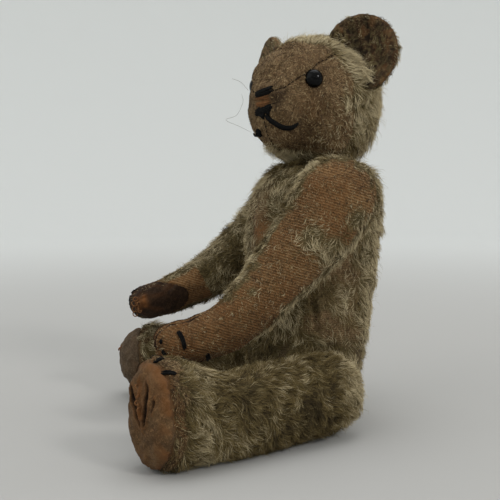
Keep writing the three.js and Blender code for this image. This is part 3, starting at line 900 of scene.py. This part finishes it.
def scattered(body, kind, count, rng):
    """Roots for strands, spread over a body's cover as thickly as its coat is left there."""
    mesh, place = SKINS[body].data, PLACES[body]
    mesh.calc_loop_triangles()
    corners = read(mesh.loop_triangles, "vertices", 3, np.int32)
    points, normals = points_of(mesh), normals_of(mesh)
    a, b, c = (points[corners[:, i]] for i in range(3))
    area = np.linalg.norm(np.cross(b - a, c - a), axis=1)
    middle, facing = (a + b + c) / 3, unit(normals[corners].sum(1))
    left, bare, *_ = coat_of(body, place.local(middle), place.local_way(facing))
    share = np.clip(bare if kind == "stubble" else left, 0, 1)
    weight = np.cumsum(area * share * seen_share(body, middle))
    pick = np.searchsorted(weight, rng.uniform(0, weight[-1], count))
    u, v = rng.uniform(size=(2, count, 1))
    u, v = np.where(u + v > 1, 1 - u, u), np.where(u + v > 1, 1 - v, v)
    root = a[pick] * (1 - u - v) + b[pick] * u + c[pick] * v
    corner = normals[corners[pick]]
    return root, unit(corner[:, 0] * (1 - u - v) + corner[:, 1] * u + corner[:, 2] * v)


def paths(root, normal, lay, length, rng, levels, lift, curl):
    """Each strand's middle line: up off the cloth, then over along its lay, with a curl."""
    count = len(root)
    flat = unit(lay - normal * (lay * normal).sum(1, keepdims=True))
    swirl = 0.9 * ripple(root / MM, 10, 71) + 0.5 * ripple(root / MM, 4, 72)
    swirl += rng.normal(0, 0.35, count)
    side = np.cross(normal, flat)
    ahead = flat * np.cos(swirl)[:, None] + side * np.sin(swirl)[:, None]
    side = np.cross(normal, ahead)
    raised = lift * rng.uniform(0.55, 1.35, count)
    phase = rng.uniform(0, 6.28, count)
    t = np.array(levels)[None, :]
    height = raised[:, None] * t * (1.25 - 0.6 * t)
    reach = np.sqrt(np.maximum(0.2, 1 - raised[:, None] ** 2)) * t * (0.55 + 0.45 * t)
    wave = curl * t * np.sin(5.0 * t + phase[:, None])
    size = (length * MM)[:, None, None]
    return root[:, None] + size * (
        height[..., None] * normal[:, None]
        + reach[..., None] * ahead[:, None]
        + wave[..., None] * side[:, None]
    )


def clumped(lines, rng, levels, pull):
    """Draws each strand's tip towards the leader of the lock that it is matted into."""
    count = len(lines)
    leaders = rng.choice(count, max(1, int(count * LOCK["share"])), replace=False)
    tree = KDTree(len(leaders))
    for spot, leader in enumerate(leaders):
        tree.insert(Vector(lines[leader, 0]), spot)
    tree.balance()
    found = [tree.find(Vector(p)) for p in lines[:, 0]]
    chosen = leaders[[spot for _, spot, _ in found]]
    close = np.array([gap for _, _, gap in found]) < LOCK["reach"] * MM
    drawn = pull * rng.uniform(0.4, 1.2, count) * close
    share = np.minimum(1, drawn[:, None] * np.array(levels)[None] ** 1.5)[..., None]
    return lines + share * (lines[chosen] - lines), chosen


def blades(name, lines, half, rng, normal, levels):
    """Thin tapering blades along lines, with their own spots on a map for the export."""
    count, steps = lines.shape[:2]
    ahead = unit(np.gradient(lines, axis=1))
    roll = rng.normal(0, 0.7, count)[:, None, None]
    over = np.cross(ahead, normal[:, None])
    across = unit(over * np.cos(roll) + np.cross(over, ahead) * np.sin(roll))
    wide = half[:, None, None] * MM * (1 - 0.65 * np.array(levels)[None, :, None])
    left, right = lines - across * wide, lines + across * wide
    pairs = np.stack([left[:, :-1], right[:, :-1]], 2).reshape(count, -1, 3)
    points = np.concatenate([pairs, lines[:, -1:]], 1)
    each = 2 * (steps - 1) + 1
    first = np.arange(count)[:, None] * each
    quads = [first + [2 * k, 2 * k + 1, 2 * k + 3, 2 * k + 2] for k in range(steps - 2)]
    tips = first + [each - 3, each - 2, each - 1]
    mesh = mesh_of(name, points.reshape(-1, 3), [*quads, tips])
    write(mesh, "tip", np.tile(np.append(np.repeat(levels[:-1], 2), 1), count))
    map_blades(mesh, count, each)
    return mesh


def map_blades(mesh, count, each):
    """Gives each blade a cell of its own in the map that the export bakes through."""
    cells = math.ceil(math.sqrt(count))
    corner = np.stack([np.arange(count) % cells, np.arange(count) // cells], 1)[:, None]
    across = np.append(np.tile([0.15, 0.85], (each - 1) // 2), 0.5)
    along = np.append(np.repeat(np.linspace(0.1, 0.7, (each - 1) // 2), 2), 0.9)
    spots = (corner + np.stack([across, along], 1)[None]) / cells
    index = read(mesh.loops, "vertex_index", kind=np.int32)
    layer = mesh.uv_layers.new(name="OFBake")
    layer.data.foreach_set("uv", spots.reshape(-1, 2)[index].astype(np.float32).ravel())


def strands(name, root, normal, lay, length, pale, rng, kind):
    """One piece made of strands of a kind, each with its tint."""
    settings, count = KINDS[kind], len(root)
    levels = settings["levels"]
    lines = paths(root, normal, lay, length, rng, levels, settings["lift"], settings["curl"])
    lines, chosen = clumped(lines, rng, levels, settings["pull"])
    lines[..., 2] = np.maximum(lines[..., 2], FLOOR_CLEARANCE * MM)
    mesh = blades(name, lines, settings["half"] * rng.uniform(0.6, 1.3, count), rng, normal, levels)
    tint = pale + rng.normal(0, settings["tints"], count)
    tint = np.clip(tint + rng.normal(0, LOCK["tints"], count)[chosen], 0, 1)
    write(mesh, "tint", np.repeat(tint, len(mesh.vertices) // count))
    return added(name, mesh, STUBBLE if kind == "stubble" else MOHAIR)


def grow(body, kind, count, seed):
    """A layer of the coat on a body's cover."""
    rng = np.random.default_rng(seed)
    place = PLACES[body]
    root, normal = scattered(body, kind, count, rng)
    local, facing = place.local(root), place.local_way(normal)
    _, _, length, lay, pale = coat_of(body, local, facing)
    if kind == "stubble":
        length = np.full(count, STUBBLE_LENGTH)
        # The stubble is darkened by the same dirt and painted shade as the cover beneath it.
        pale = STUBBLE_PALE - STUBBLE_DIRT_AND_SHADE * dirt_and_shade_of(body, local)
    length = length * rng.uniform(*KINDS[kind]["share"], count)
    obj = strands(f"{body}_{kind}", root, normal, place.world_way(lay), length, pale, rng, kind)
    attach(obj, body)


# How many strands of each kind grow on each body.
COATS = {
    "torso": (29000, 17000, 10000, 2400),
    "head": (20000, 13000, 24000, 1800),
    "arm_left": (9500, 6500, 8000, 700),
    "arm_right": (10500, 6500, 4000, 900),
    "leg_left": (29000, 17000, 6000, 2200),
    "leg_right": (14500, 9000, 3000, 900),
}
for seed, (body, counts) in enumerate(COATS.items()):
    for kind, count in zip(KINDS, counts):
        grow(body, kind, count, 10 * seed + len(kind))

# ------------------------------------------------------------------ felt pads

# Sizes of a pad in mm: how far it stands off the cover, its thickness, how deep its slits are, and how
# high their lips and rolled shreds stand.
PAD = {"lift": 0.3, "thick": 0.9, "slit": 1.6, "lip": 0.6, "roll": 0.8}
SUNK = {"arm": 1.6, "leg": 2.2}  # mm that the cover is drawn in beneath a pad
PAD_EDGE, SUNK_EDGE = 0.4, 1.2  # mm from a sole's seam to its felt, and to the sunk cover beneath


def part_of(body, name, chosen, material):
    """A layer of felt laid on the part of a body's cover where chosen(local, facing) is true."""
    source, place = SKINS[body].data, PLACES[body]
    bm = bmesh.new()
    bm.from_mesh(source)
    bm.faces.ensure_lookup_table()
    centre = np.array([f.calc_center_median() for f in bm.faces])
    facing = np.array([f.normal for f in bm.faces])
    keep = chosen(place.local(centre), place.local_way(facing))
    bmesh.ops.delete(bm, geom=[f for f, k in zip(bm.faces, keep) if not k], context="FACES")
    return added(name, mesh_from(bm, name), material)


def tear(local, line, half_wide):
    """How open a slit along line is at each point, from 0 to 1, and how much of its lip a point is."""
    track = curve(line)
    gap, along = off_line(local, track)
    share = along / off_line(track[-1:], track)[1][0]
    wide = half_wide * np.sqrt(np.sin(math.pi * np.clip(share, 0.03, 0.97)))
    return np.exp(-((gap / wide) ** 4)), bell(gap - 1.7 * wide, 0.7 * wide)


def felt_pad(body, name, node, chosen, material, damage, wear):
    """A felt pad with its slits and rolled shreds; wear(local) is how orange it is."""
    pad = changed(part_of(body, name, chosen, material), ("SUBSURF", {"levels": 1}))
    mesh = pad.data
    points, normal, local, _ = surface(body, mesh)
    open_, lip, rolled = (np.zeros(len(points)) for _ in range(3))
    for line, half_wide in damage["slits"]:
        gape, edge = tear(local, line, half_wide)
        open_, lip = np.maximum(open_, gape), np.maximum(lip, edge)
    for line, radius in damage["rolls"]:
        rolled = np.maximum(rolled, beside(local, line, radius))
    crumple = 0.12 * ripple(local, 2.4, 84) + 0.7 * rolled * ripple(local, 2.0, 85)
    out = PAD["lift"] + 0.22 * ripple(local, 5, 81) - PAD["slit"] * open_ + PAD["lip"] * lip
    out += crumple + PAD["roll"] * rolled * (1 - open_)
    set_points(mesh, points + normal * out[:, None] * MM)
    write(mesh, "orange", np.clip(wear(local) + 0.35 * lip + 0.8 * rolled, 0, 1))
    # Painted shade inside the open slits.
    write(mesh, "dirt_and_shade", np.clip(1.6 * np.sqrt(open_), 0, 1))
    changed(pad, ("SOLIDIFY", {"thickness": PAD["thick"] * MM, "offset": -1.0}))
    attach(pad, body)
    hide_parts(node)


def sunk(body, chosen, depth):
    """Draws the cover in beneath a pad, so that only the felt shows in its tears."""
    mesh = SKINS[body].data
    points, normal, local, facing = surface(body, mesh)
    set_points(mesh, points - normal * (depth * MM * chosen(local, facing))[:, None])


PAW = {"long": 14.2, "short": 7.4, "from_tip": 20.0}  # mm: half its sizes, and its middle's place
WHOLE = {"slits": [], "rolls": []}
SOLE_DAMAGE = {
    "left": {
        "slits": [([(6, -81.5, 15), (9, -82.5, 10), (11.8, -82.5, 5), (14.4, -82.1, -1)], 1.15),
                  ([(14.8, -81.1, 19), (16.6, -81.5, 13), (16.8, -81.9, 7), (15, -82.3, -1)], 0.85),
                  ([(19.4, -80.6, 15), (20.2, -80.9, 10), (19.8, -81, 4.5)], 0.35),
                  ([(18.8, -81, -5), (19.4, -81, -11.5)], 0.3)],
        "rolls": [([(11, -81.5, 17), (13.2, -82.5, 11.5), (14.4, -82.5, 5)], 1.3)],
    },
    "right": {
        "slits": [([(-4, -71.5, 12), (-3, -73, 8), (-2.4, -73, 3)], 0.9)],
        "rolls": [([(-1.8, -71.5, 9), (-1.4, -72, 4)], 1.2)],
    },
}
PAW_DAMAGE = {
    "left": WHOLE,
    "right": {
        "slits": [([(-5.5, -75, -42.5), (-3.2, -73, -46), (-3.2, -72, -51)], 1.1)],
        "rolls": [([(-3.2, -70, -43.5), (-2.6, -69, -47)], 1.2)],
    },
}

for word, side in SIDES.items():
    line = ARM_LINES[f"arm_{word}"]
    _, reach = off_line(line, line)
    heart = line[np.abs(reach - (reach[-1] - PAW["from_tip"])).argmin()]
    ahead = unit(line[-1] - line[-8])

    def on_palm(local, facing, heart=heart, ahead=ahead, side=side):
        flat = (local - heart) * (0, 1, 1)
        along = flat @ ahead
        across = np.linalg.norm(flat - along[:, None] * ahead, axis=1)
        inside = (along / PAW["long"]) ** 2 + (across / PAW["short"]) ** 2 < 1
        return inside & (facing[:, 0] * side < -0.1)

    felt_pad(f"arm_{word}", f"paw_felt_{word}", f"paw_pad_{word}", on_palm, PAW_FELT,
             PAW_DAMAGE[word], lambda local: 0.12 * smooth(0, 0.8, ripple(local, 6, 82)))
    sunk(f"arm_{word}", on_palm, SUNK["arm"])

    def on_sole(local, facing, edge=SOLE_SEAM[word] - PAD_EDGE):
        return local[:, 1] < edge

    def under_sole(local, facing, edge=SOLE_SEAM[word] - SUNK_EDGE):
        return local[:, 1] < edge

    def sole_wear(local, edge=SOLE_SEAM[word]):
        patchy = smooth(-0.6, 0.5, ripple(local, 7, 83))
        worn = 0.75 * patchy * smooth(edge - 4.5, edge - 1.5, local[:, 1]) + 0.15 * patchy
        return worn * SOLE_ORANGE[word]

    felt_pad(f"leg_{word}", f"sole_felt_{word}", f"foot_pad_{word}", on_sole, SOLE_FELTS[word],
             SOLE_DAMAGE[word], sole_wear)
    sunk(f"leg_{word}", under_sole, SUNK["leg"])

# ------------------------------------------------------------------ ears

EAR_FOLDS = {
    "left": [([(-7, 11), (-3, 6), (-2, -2)], 0.7), ([(2, 13), (1, 7), (4, 1)], 0.5)],
    "right": [([(3, 12), (2, 4), (3, -3)], 0.6)],
}
EAR_PALE = {"left": [(5.5, 2.5, 4.5), (-9, 6, 3.0), (3, -6, 3.0)], "right": [(0, 3, 9.0), (4, 8, 6)]}
EAR_TINT = {"left": 0.56, "right": 0.8}
EAR_CLOTH = {"left": CLOTH_EAR, "right": CLOTH_FACE}


def ear(word):
    """An ear's cloth: cupped, with a turned rim, folds down its front and the last of its pile."""
    bm = bmesh.new()
    bm.from_mesh(frame["nodes"][f"ear_{word}"].data)
    bmesh.ops.remove_doubles(bm, verts=bm.verts, dist=1e-6)
    name = f"ear_{word}_skin"
    obj = changed(
        added(name, mesh_from(bm, name), EAR_CLOTH[word]),
        ("REMESH", {"mode": "VOXEL", "voxel_size": 0.8 * MM}),
        ("SMOOTH", {"factor": 0.5, "iterations": 8}),
        ("SUBSURF", {"levels": 1}),
    )
    mesh = obj.data
    points, normal, local, facing = surface("head", mesh)
    middle = PLACES["head"].local(middle_of(f"ear_{word}"))
    flat = (local - middle)[:, [0, 2]]
    head = tree_of(SKINS["head"])
    found = [head.find_nearest(Vector(p)) for p in points]
    gap = np.array([d for *_, d in found]) / MM
    inwards = -np.array([n for _, n, _, _ in found]) * (2.0 * smooth(2.5, 0.6, gap))[:, None]
    rim = smooth(0.75, 0.25, np.abs(facing[:, 1])) * smooth(1, 4, gap)
    front = smooth(0.1, -0.3, facing[:, 1])
    fold = np.zeros(len(points))
    for line, depth in EAR_FOLDS[word]:
        fold = np.maximum(fold, depth * beside(flat, line, 1.2))
    out = 0.25 * rim + 0.3 * ripple(local, 7, 91) * (1 - rim) - fold * front
    set_points(mesh, points + (normal * out[:, None] + inwards) * MM)
    pale = patches(flat, EAR_PALE[word])
    speckle = 0.5 * ripple(local, 3, 92) + 0.6 * ripple(local, 1.3, 93)
    grime = 0.7 * front * smooth(0.0, 0.6, ripple(local, 4, 95) + 0.5 * ripple(local, 1.6, 96))
    write(mesh, "cloth", np.stack([local[:, 2], local[:, 0], local[:, 1]], 1))
    furred = np.clip((pale + 0.35) * smooth(-0.2, 0.5, speckle) + (1 - front) * 0.5, 0, 1)
    write(mesh, "furred", furred * (1 - 0.7 * rim))
    write(mesh, "orange", 0.2 * rim + 0.3 * front * smooth(0.1, 0.8, ripple(local, 5, 94)))
    # Painted shade at the ear's root against the head and in its folds, with patchy grime over its front.
    write(mesh, "dirt_and_shade", np.clip(front * (0.8 * smooth(6, 1, gap) + 0.7 * fold) + grime, 0, 1))
    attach(obj, "head")
    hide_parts(f"ear_{word}")
    return obj


EARS = {word: ear(word) for word in SIDES}


def ear_pile(word, count, seed):
    """Short pile behind an ear and round its root, and a few wisps in front."""
    rng = np.random.default_rng(seed)
    place, mesh = PLACES["head"], EARS[word].data
    points, normal, _, facing = surface("head", mesh)
    furred = read(mesh.attributes["furred"].data, "value")
    behind = smooth(0.0, 0.5, facing[:, 1])
    weight = np.cumsum(0.03 + 0.45 * furred + 0.9 * behind)
    pick = np.searchsorted(weight, rng.uniform(0, weight[-1], count))
    root = points[pick] + rng.normal(0, 0.25 * MM, (count, 3))
    lay = place.world_way(np.tile((0.0, 0.2, -1.0), (count, 1)))
    length = (1.1 + 2.2 * behind[pick]) * rng.uniform(0.5, 1.2, count)
    pale = EAR_TINT[word] + 0.1 * behind[pick] + 0.4 * ripple(place.local(root), 5, 97)
    obj = strands(f"ear_{word}_pile", root, normal[pick], lay, length, pale, rng, "pile")
    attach(obj, "head")


ear_pile("left", 6500, 11)
ear_pile("right", 3000, 12)

# ------------------------------------------------------------------ eyes

EYE_RADIUS = 3.6
EYE_SPOT = np.array([15.8, -20.6, 32.4])
EYE_WAY = np.array([0.62, -0.76, 0.18])
EYE_PROUD = {1: 0.0, -1: -0.4}  # mm that each eye stands out; the right one is pulled in


def eye(word, side):
    """A black glass dome on a flat back, with the short wire shank that it is sewn in by."""
    radius = EYE_RADIUS
    dome = [(radius * math.sin(a), radius * math.cos(a)) for a in np.linspace(0, 0.62 * math.pi, 16)]
    profile = [(r, 0.72 * h) for r, h in dome] + [(1.2, -1.6), (0.5, -1.8), (0.5, -4.0), (0, -4.0)]
    points, quads, tips = turned(profile, 40)
    proud = EYE_SPOT + EYE_PROUD[side] * EYE_WAY
    middle = Vector(PLACES["head"].world(proud * (side, 1, 1)))
    out = Vector(PLACES["head"].world_way(EYE_WAY * (side, 1, 1)))
    turn = np.array(out.to_track_quat("Z", "Y").to_matrix())
    mesh = mesh_of(f"glass_eye_{word}", points * MM @ turn.T + np.array(middle), [quads, tips])
    obj = added(f"glass_eye_{word}", mesh, BLACK_GLASS)
    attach(obj, "head")
    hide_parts(f"eye_{word}")


for word, side in SIDES.items():
    eye(word, side)

# ------------------------------------------------------------------ threads


def tube(line, radius, sides=7):
    """Points and faces of a thread along line, in mm, drawn in at its ends."""
    count = len(line)
    ahead = unit(np.gradient(line, axis=0))
    over = unit(np.cross(ahead, (0.31, 0.23, 0.92)))
    up = np.cross(ahead, over)
    share = np.linspace(0, 1, count)
    taper = np.sqrt(np.clip(1 - np.abs(2 * share - 1) ** 8, 0.05, 1)) * radius
    turn = np.linspace(0, 2 * math.pi, sides, endpoint=False)
    ring = over[:, None] * np.cos(turn)[None, :, None] + up[:, None] * np.sin(turn)[None, :, None]
    points = (line[:, None] + ring * taper[:, None, None]).reshape(-1, 3)
    k, s = np.meshgrid(np.arange(count - 1), np.arange(sides), indexing="ij")
    after = (s + 1) % sides
    quads = np.stack([k * sides + s, k * sides + after, (k + 1) * sides + after, (k + 1) * sides + s], -1)
    caps = np.stack([np.arange(sides)[::-1], np.arange(sides) + (count - 1) * sides])
    return points, quads.reshape(-1, 4), caps


def threads(name, body, lines, material, replaced=()):
    """One piece made of threads, each given as (line in the body's frame, radius)."""
    points, quads, caps, start = [], [], [], 0
    for line, radius in lines:
        p, q, c = tube(np.asarray(line, float), radius)
        points.append(p)
        quads.append(q + start)
        caps.append(c + start)
        start += len(p)
    world = PLACES[body].world(np.concatenate(points))
    mesh = mesh_of(name, world, [np.concatenate(quads), np.concatenate(caps)])
    obj = added(name, mesh, material)
    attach(obj, body)
    if replaced:
        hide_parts(*replaced)


TREES = {body: tree_of(skin) for body, skin in SKINS.items()}


def laid(body, line, lift):
    """A line drawn onto a body's cover, lift mm above it."""
    place, tree = PLACES[body], TREES[body]
    found = [tree.find_nearest(Vector(p))[:2] for p in place.world(np.asarray(line, float))]
    spots = np.array([np.array(spot) + np.array(way) * lift * MM for spot, way in found])
    return place.local(spots)


def satin(rng, middles, half, count, radius, lift=0.25, skew=0.12):
    """Threads side by side along a line, each a little out of true."""
    line = curve(middles, 5)
    ahead = unit(np.gradient(line, axis=0))
    across = unit(np.cross(ahead, (0, -1, 0)))
    made = []
    for spot in np.linspace(-1, 1, count):
        slip = rng.normal(0, skew, 2)
        share = np.linspace(-1, 1, len(line))[:, None]
        shifted = line + across * (half * spot + slip[0] + slip[1] * share)
        made.append((laid("head", shifted, lift + 0.25 * (1 - spot**2)), radius))
    return made


def stitches(body, line, long, gap, radius, lift=0.12):
    """Running stitches along a line."""
    line = np.asarray(line, float)
    travelled = np.concatenate([[0], np.cumsum(np.linalg.norm(np.diff(line, axis=0), axis=1))])
    made = []
    for start in np.arange(0, travelled[-1] - long, long + gap):
        at = np.linspace(start, start + long, 5)
        piece = np.stack([np.interp(at, travelled, line[:, k]) for k in range(3)], 1)
        arch = lift * np.sin(np.linspace(0, math.pi, 5))
        made.append((np.array([laid(body, [p], a)[0] for p, a in zip(piece, arch - 0.05)]), radius))
    return made


# The embroidery: each piece's name, thread and CAD node, and its rows of threads. A row has its middle
# line, half its width, how many threads it has and their radius, and may say how high and how true they lie.
EMBROIDERY = [
    ("nose_upper_threads", BLACK_THREAD, ["nose_stitch_upper"], [
        ([(-4.9, -31.3, 26.7), (-0.3, -32, 27.6), (4.6, -31.2, 28.4)], 1.05, 7, 0.42),
    ]),
    ("nose_lower_threads", BLACK_THREAD, ["nose_stitch_lower"], [
        ([(-4.9, -31.6, 19.6), (-0.4, -32.6, 20.2), (3.9, -32.1, 21.2)], 1.0, 7, 0.45),
        ([(-3.9, -32, 21.4), (-1.8, -32.4, 19.2), (0.8, -32.4, 17.8)], 0.8, 5, 0.45),
        ([(4.4, -32, 21.9), (2.8, -32.4, 20.4), (2.1, -32.2, 18.2)], 0.5, 3, 0.45),
    ]),
    ("mouth_left_threads", BLACK_THREAD, ["mouth_stitch_left"], [
        ([(1.4, -32.4, 18.4), (3.2, -32, 16.6), (5.2, -31, 15.3), (7.8, -29.3, 13.7),
          (10.3, -27, 13.6), (12.3, -25.4, 15.1)], 0.55, 4, 0.5, 0.3, 0.06),
    ]),
    ("mouth_right_threads", BLACK_THREAD, ["mouth_stitch_right"], [
        ([(-3.4, -31, 11.6), (-5.0, -30.8, 12.8), (-5.9, -30.0, 11.2), (-4.4, -30.4, 10.4),
          (-4.9, -30.2, 12.4), (-7.6, -28.4, 10.8), (-10.6, -26.8, 12.2)], 0.3, 3, 0.45, 0.4, 0.18),
    ]),
    ("nose_worn_threads", ORANGE_THREAD, [], [
        ([(-4.9, -31.5, 25.0), (0, -32.3, 25.3), (3.0, -32, 25.8)], 0.5, 4, 0.2, 0.15, 0.2),
        ([(-4.6, -31.8, 23.0), (0, -32.6, 23.2), (3.4, -32.2, 23.6)], 0.8, 6, 0.2, 0.15, 0.25),
    ]),
]
rng = np.random.default_rng(77)
for name, thread, nodes, rows in EMBROIDERY:
    threads(name, "head", [made for row in rows for made in satin(rng, *row)], thread, nodes)
creases = [[(-5, -31.5, 25.8), (-1, -32.2, 26.0), (3.6, -32, 26.6)],
           [(-1.6, -32.4, 22.4), (-0.4, -32.5, 24.6)],
           [(2.6, -32.2, 22.4), (6.8, -31, 23.0)],
           [(-4.6, -31.6, 22.2), (-1.8, -32.3, 22.2)]]
threads("nose_crease_threads", "head",
        [(laid("head", curve(crease), 0.12), 0.16) for crease in creases], BROWN_THREAD)

seams = []
for line in (GUSSET, mirrored(GUSSET)):
    seams += stitches("head", curve(line, 10), 1.5, 0.25, 0.22, 0.3)
seams += stitches("head", curve(CHIN_SEAM, 10), 1.6, 0.3, 0.22, 0.3)
threads("head_seam_threads", "head", seams, BROWN_THREAD)

CLAWS = {
    "arm_left": [
        [(20, -70.5, -50.0), (20.5, -71, -52.6)],
        [(19, -61.6, -46.8), (21, -60, -50), (20.5, -58.8, -55)],
        [(19, -69.8, -56.4), (19, -66.6, -57.8)],
        [(20, -59.8, -58.8), (17, -57.8, -63)],
        [(19.6, -50.4, -57.6), (16.8, -48.4, -62.6)],
    ],
    "arm_right": [
        [(-9, -80.5, -43.5), (-4, -82.5, -45), (-3, -84, -49)],
        [(-12, -79, -42.5), (-15, -80.5, -46)],
        [(-9, -76.5, -41), (-11, -73, -40)],
    ],
    "leg_left": [
        [(18.8, -77, 20), (21, -73, 18.6)],
        [(13.5, -77, 22.6), (13.8, -73.4, 22.4)],
        [(8.5, -74.6, 22), (8.3, -71, 21.6)],
    ],
    "leg_right": [
        [(-16, -63, 17.5), (-18, -59, 16.5)],
        [(-11.5, -63.5, 18), (-12, -59.5, 18)],
    ],
}
for body, marks in CLAWS.items():
    made = []
    for mark in marks:
        line = curve(mark, 6)
        for slip in (-0.3, 0.3):
            made.append((laid(body, line + (0, slip, slip), 0.35), 0.48))
    threads(f"{body}_claws", body, made, BLACK_THREAD)

STRAY_HAIRS = [
    [(-10.5, -29.5, 29), (-12.4, -32.2, 32.4), (-14.5, -35.1, 33.8)],
    [(-9, -29.5, 12.5), (-12, -33.7, 14.9), (-15, -38, 17.3), (-12.5, -34.5, 19.2), (-11, -32.4, 24.4),
     (-11.3, -32.8, 27.7)],
    [(17, -18, 19), (19.6, -18.5, 14), (20, -16.5, 9)],
]
threads("stray_hairs", "head", [(curve(hair), 0.05) for hair in STRAY_HAIRS], FINE_HAIR)


def curls(spots, radius, turns, rng):
    """Loops of loosened thread, each standing up from its spot."""
    made = []
    for spot in spots:
        turn = np.linspace(0, 2 * math.pi * turns, 22) + rng.uniform(0, 6.28)
        rise = np.linspace(0, 1.6, 22) + rng.normal(0, 0.2)
        lean = rng.normal(0, 0.35, 3)
        ring = np.stack([rise * 0.5, radius * np.cos(turn), radius * np.sin(turn)], 1)
        made.append((np.array(spot, float) + ring + rise[:, None] * lean, 0.24))
    return made


TORN_PAW = [(-4.2, -73.4, -44.6), (-3.8, -72.4, -46.2), (-3.6, -71.6, -47.8), (-3.6, -71.2, -49.4),
            (-4.6, -74.4, -46.6), (-4.4, -73.8, -48.8), (-4.4, -73.6, -50.8)]
LOOSE_NUB = [(-9.6, -76, 6.6), (-10.4, -76, 7.8), (-9.2, -76, 7.4), (-10, -76, 5.6)]
FRAYED_ROLL = [(11, -82.7, 14), (12.1, -83.1, 11.6), (13, -83.3, 9.2), (13.8, -83.3, 7.0)]
for name, body, spots, radius, turns in (
    ("torn_paw_threads", "arm_right", TORN_PAW, 0.9, 1.1),
    ("torn_sole_threads", "leg_right", laid("leg_right", LOOSE_NUB, 2.0), 0.7, 1.0),
    ("torn_roll_threads", "leg_left", FRAYED_ROLL, 0.7, 0.8),
):
    threads(name, body, curls(spots, radius, turns, rng), ORANGE_THREAD)

# ------------------------------------------------------------------ what lies inside the covers

INSIDE = {
    "_disc_": fibrous("pressed_board", (0.2, 0.13, 0.07), (0.36, 0.26, 0.16), 900.0, 5.0, 0.0, 0.1),
    "stuffing": fibrous("shavings", (0.3, 0.2, 0.09), (0.6, 0.45, 0.24), 500.0, 4.0, 3.0, 0.6),
    "_washer_": rusty_steel(),
}
INSIDE["_pin"] = INSIDE["_washer_"]
for name, node in frame["nodes"].items():
    for word, material in INSIDE.items():
        if word in name:
            node.data.materials.clear()
            node.data.materials.append(material)

# ------------------------------------------------------------------ stage, light and camera


def stage():
    """A pale round floor that sweeps up into a wall on every side."""
    flat, sweep, top = 1.3, 0.7, 1.0
    quarter = np.linspace(0, math.pi / 2, 14)
    rise = [(flat + sweep * math.sin(a), sweep * (1 - math.cos(a))) for a in quarter]
    profile = [(0, 0.0), (0.25, 0.0), (0.5, 0.0), (0.9, 0.0)] + rise + [(flat + sweep, top)]
    points, quads, middle = turned(profile, 96, closed=False)
    facing_up = [quads[:, [0, 3, 2, 1]], middle[:, [0, 2, 1]]]
    floor = added("floor", mesh_of("floor", points, facing_up), pale_floor())


def lamp(name, place, aim, size, watts, warmth=(1.0, 1.0, 1.0)):
    data = bpy.data.lights.new(name, "AREA")
    data.shape = "RECTANGLE"
    data.size, data.size_y = size
    data.energy = watts
    data.color = warmth
    obj = bpy.data.objects.new(name, data)
    obj.location = place
    obj.rotation_euler = (Vector(aim) - Vector(place)).to_track_quat("-Z", "Y").to_euler()
    bpy.context.scene.collection.objects.link(obj)


def camera():
    data = bpy.data.cameras.new("camera")
    data.sensor_width = 36.0
    data.lens = 61.0
    data.clip_start = 0.01
    obj = bpy.data.objects.new("camera", data)
    spot, aim = Vector((0.3454, -0.0898, 0.0946)), Vector((0.00195, -0.02647, 0.06977))
    obj.location = spot
    obj.rotation_euler = (aim - spot).to_track_quat("-Z", "Y").to_euler()
    bpy.context.scene.collection.objects.link(obj)
    bpy.context.scene.camera = obj


stage()
BEAR = (0.0, -0.02, 0.07)
lamp("window", (0.84, 0.5, 0.72), BEAR, (0.2, 0.2), 3.2, (1.0, 0.99, 0.97))
lamp("front", (0.4, -0.9, 0.8), BEAR, (0.9, 0.9), 1.6)
lamp("overhead", (-0.05, 0.1, 1.4), BEAR, (1.0, 1.0), 5.0)
world = bpy.data.worlds.new("daylight")
world.use_nodes = True
world.node_tree.nodes["Background"].inputs["Color"].default_value = (0.88, 0.9, 0.89, 1.0)
world.node_tree.nodes["Background"].inputs["Strength"].default_value = 0.8
bpy.context.scene.world = world
bpy.context.scene.view_settings.view_transform = "Standard"
camera()
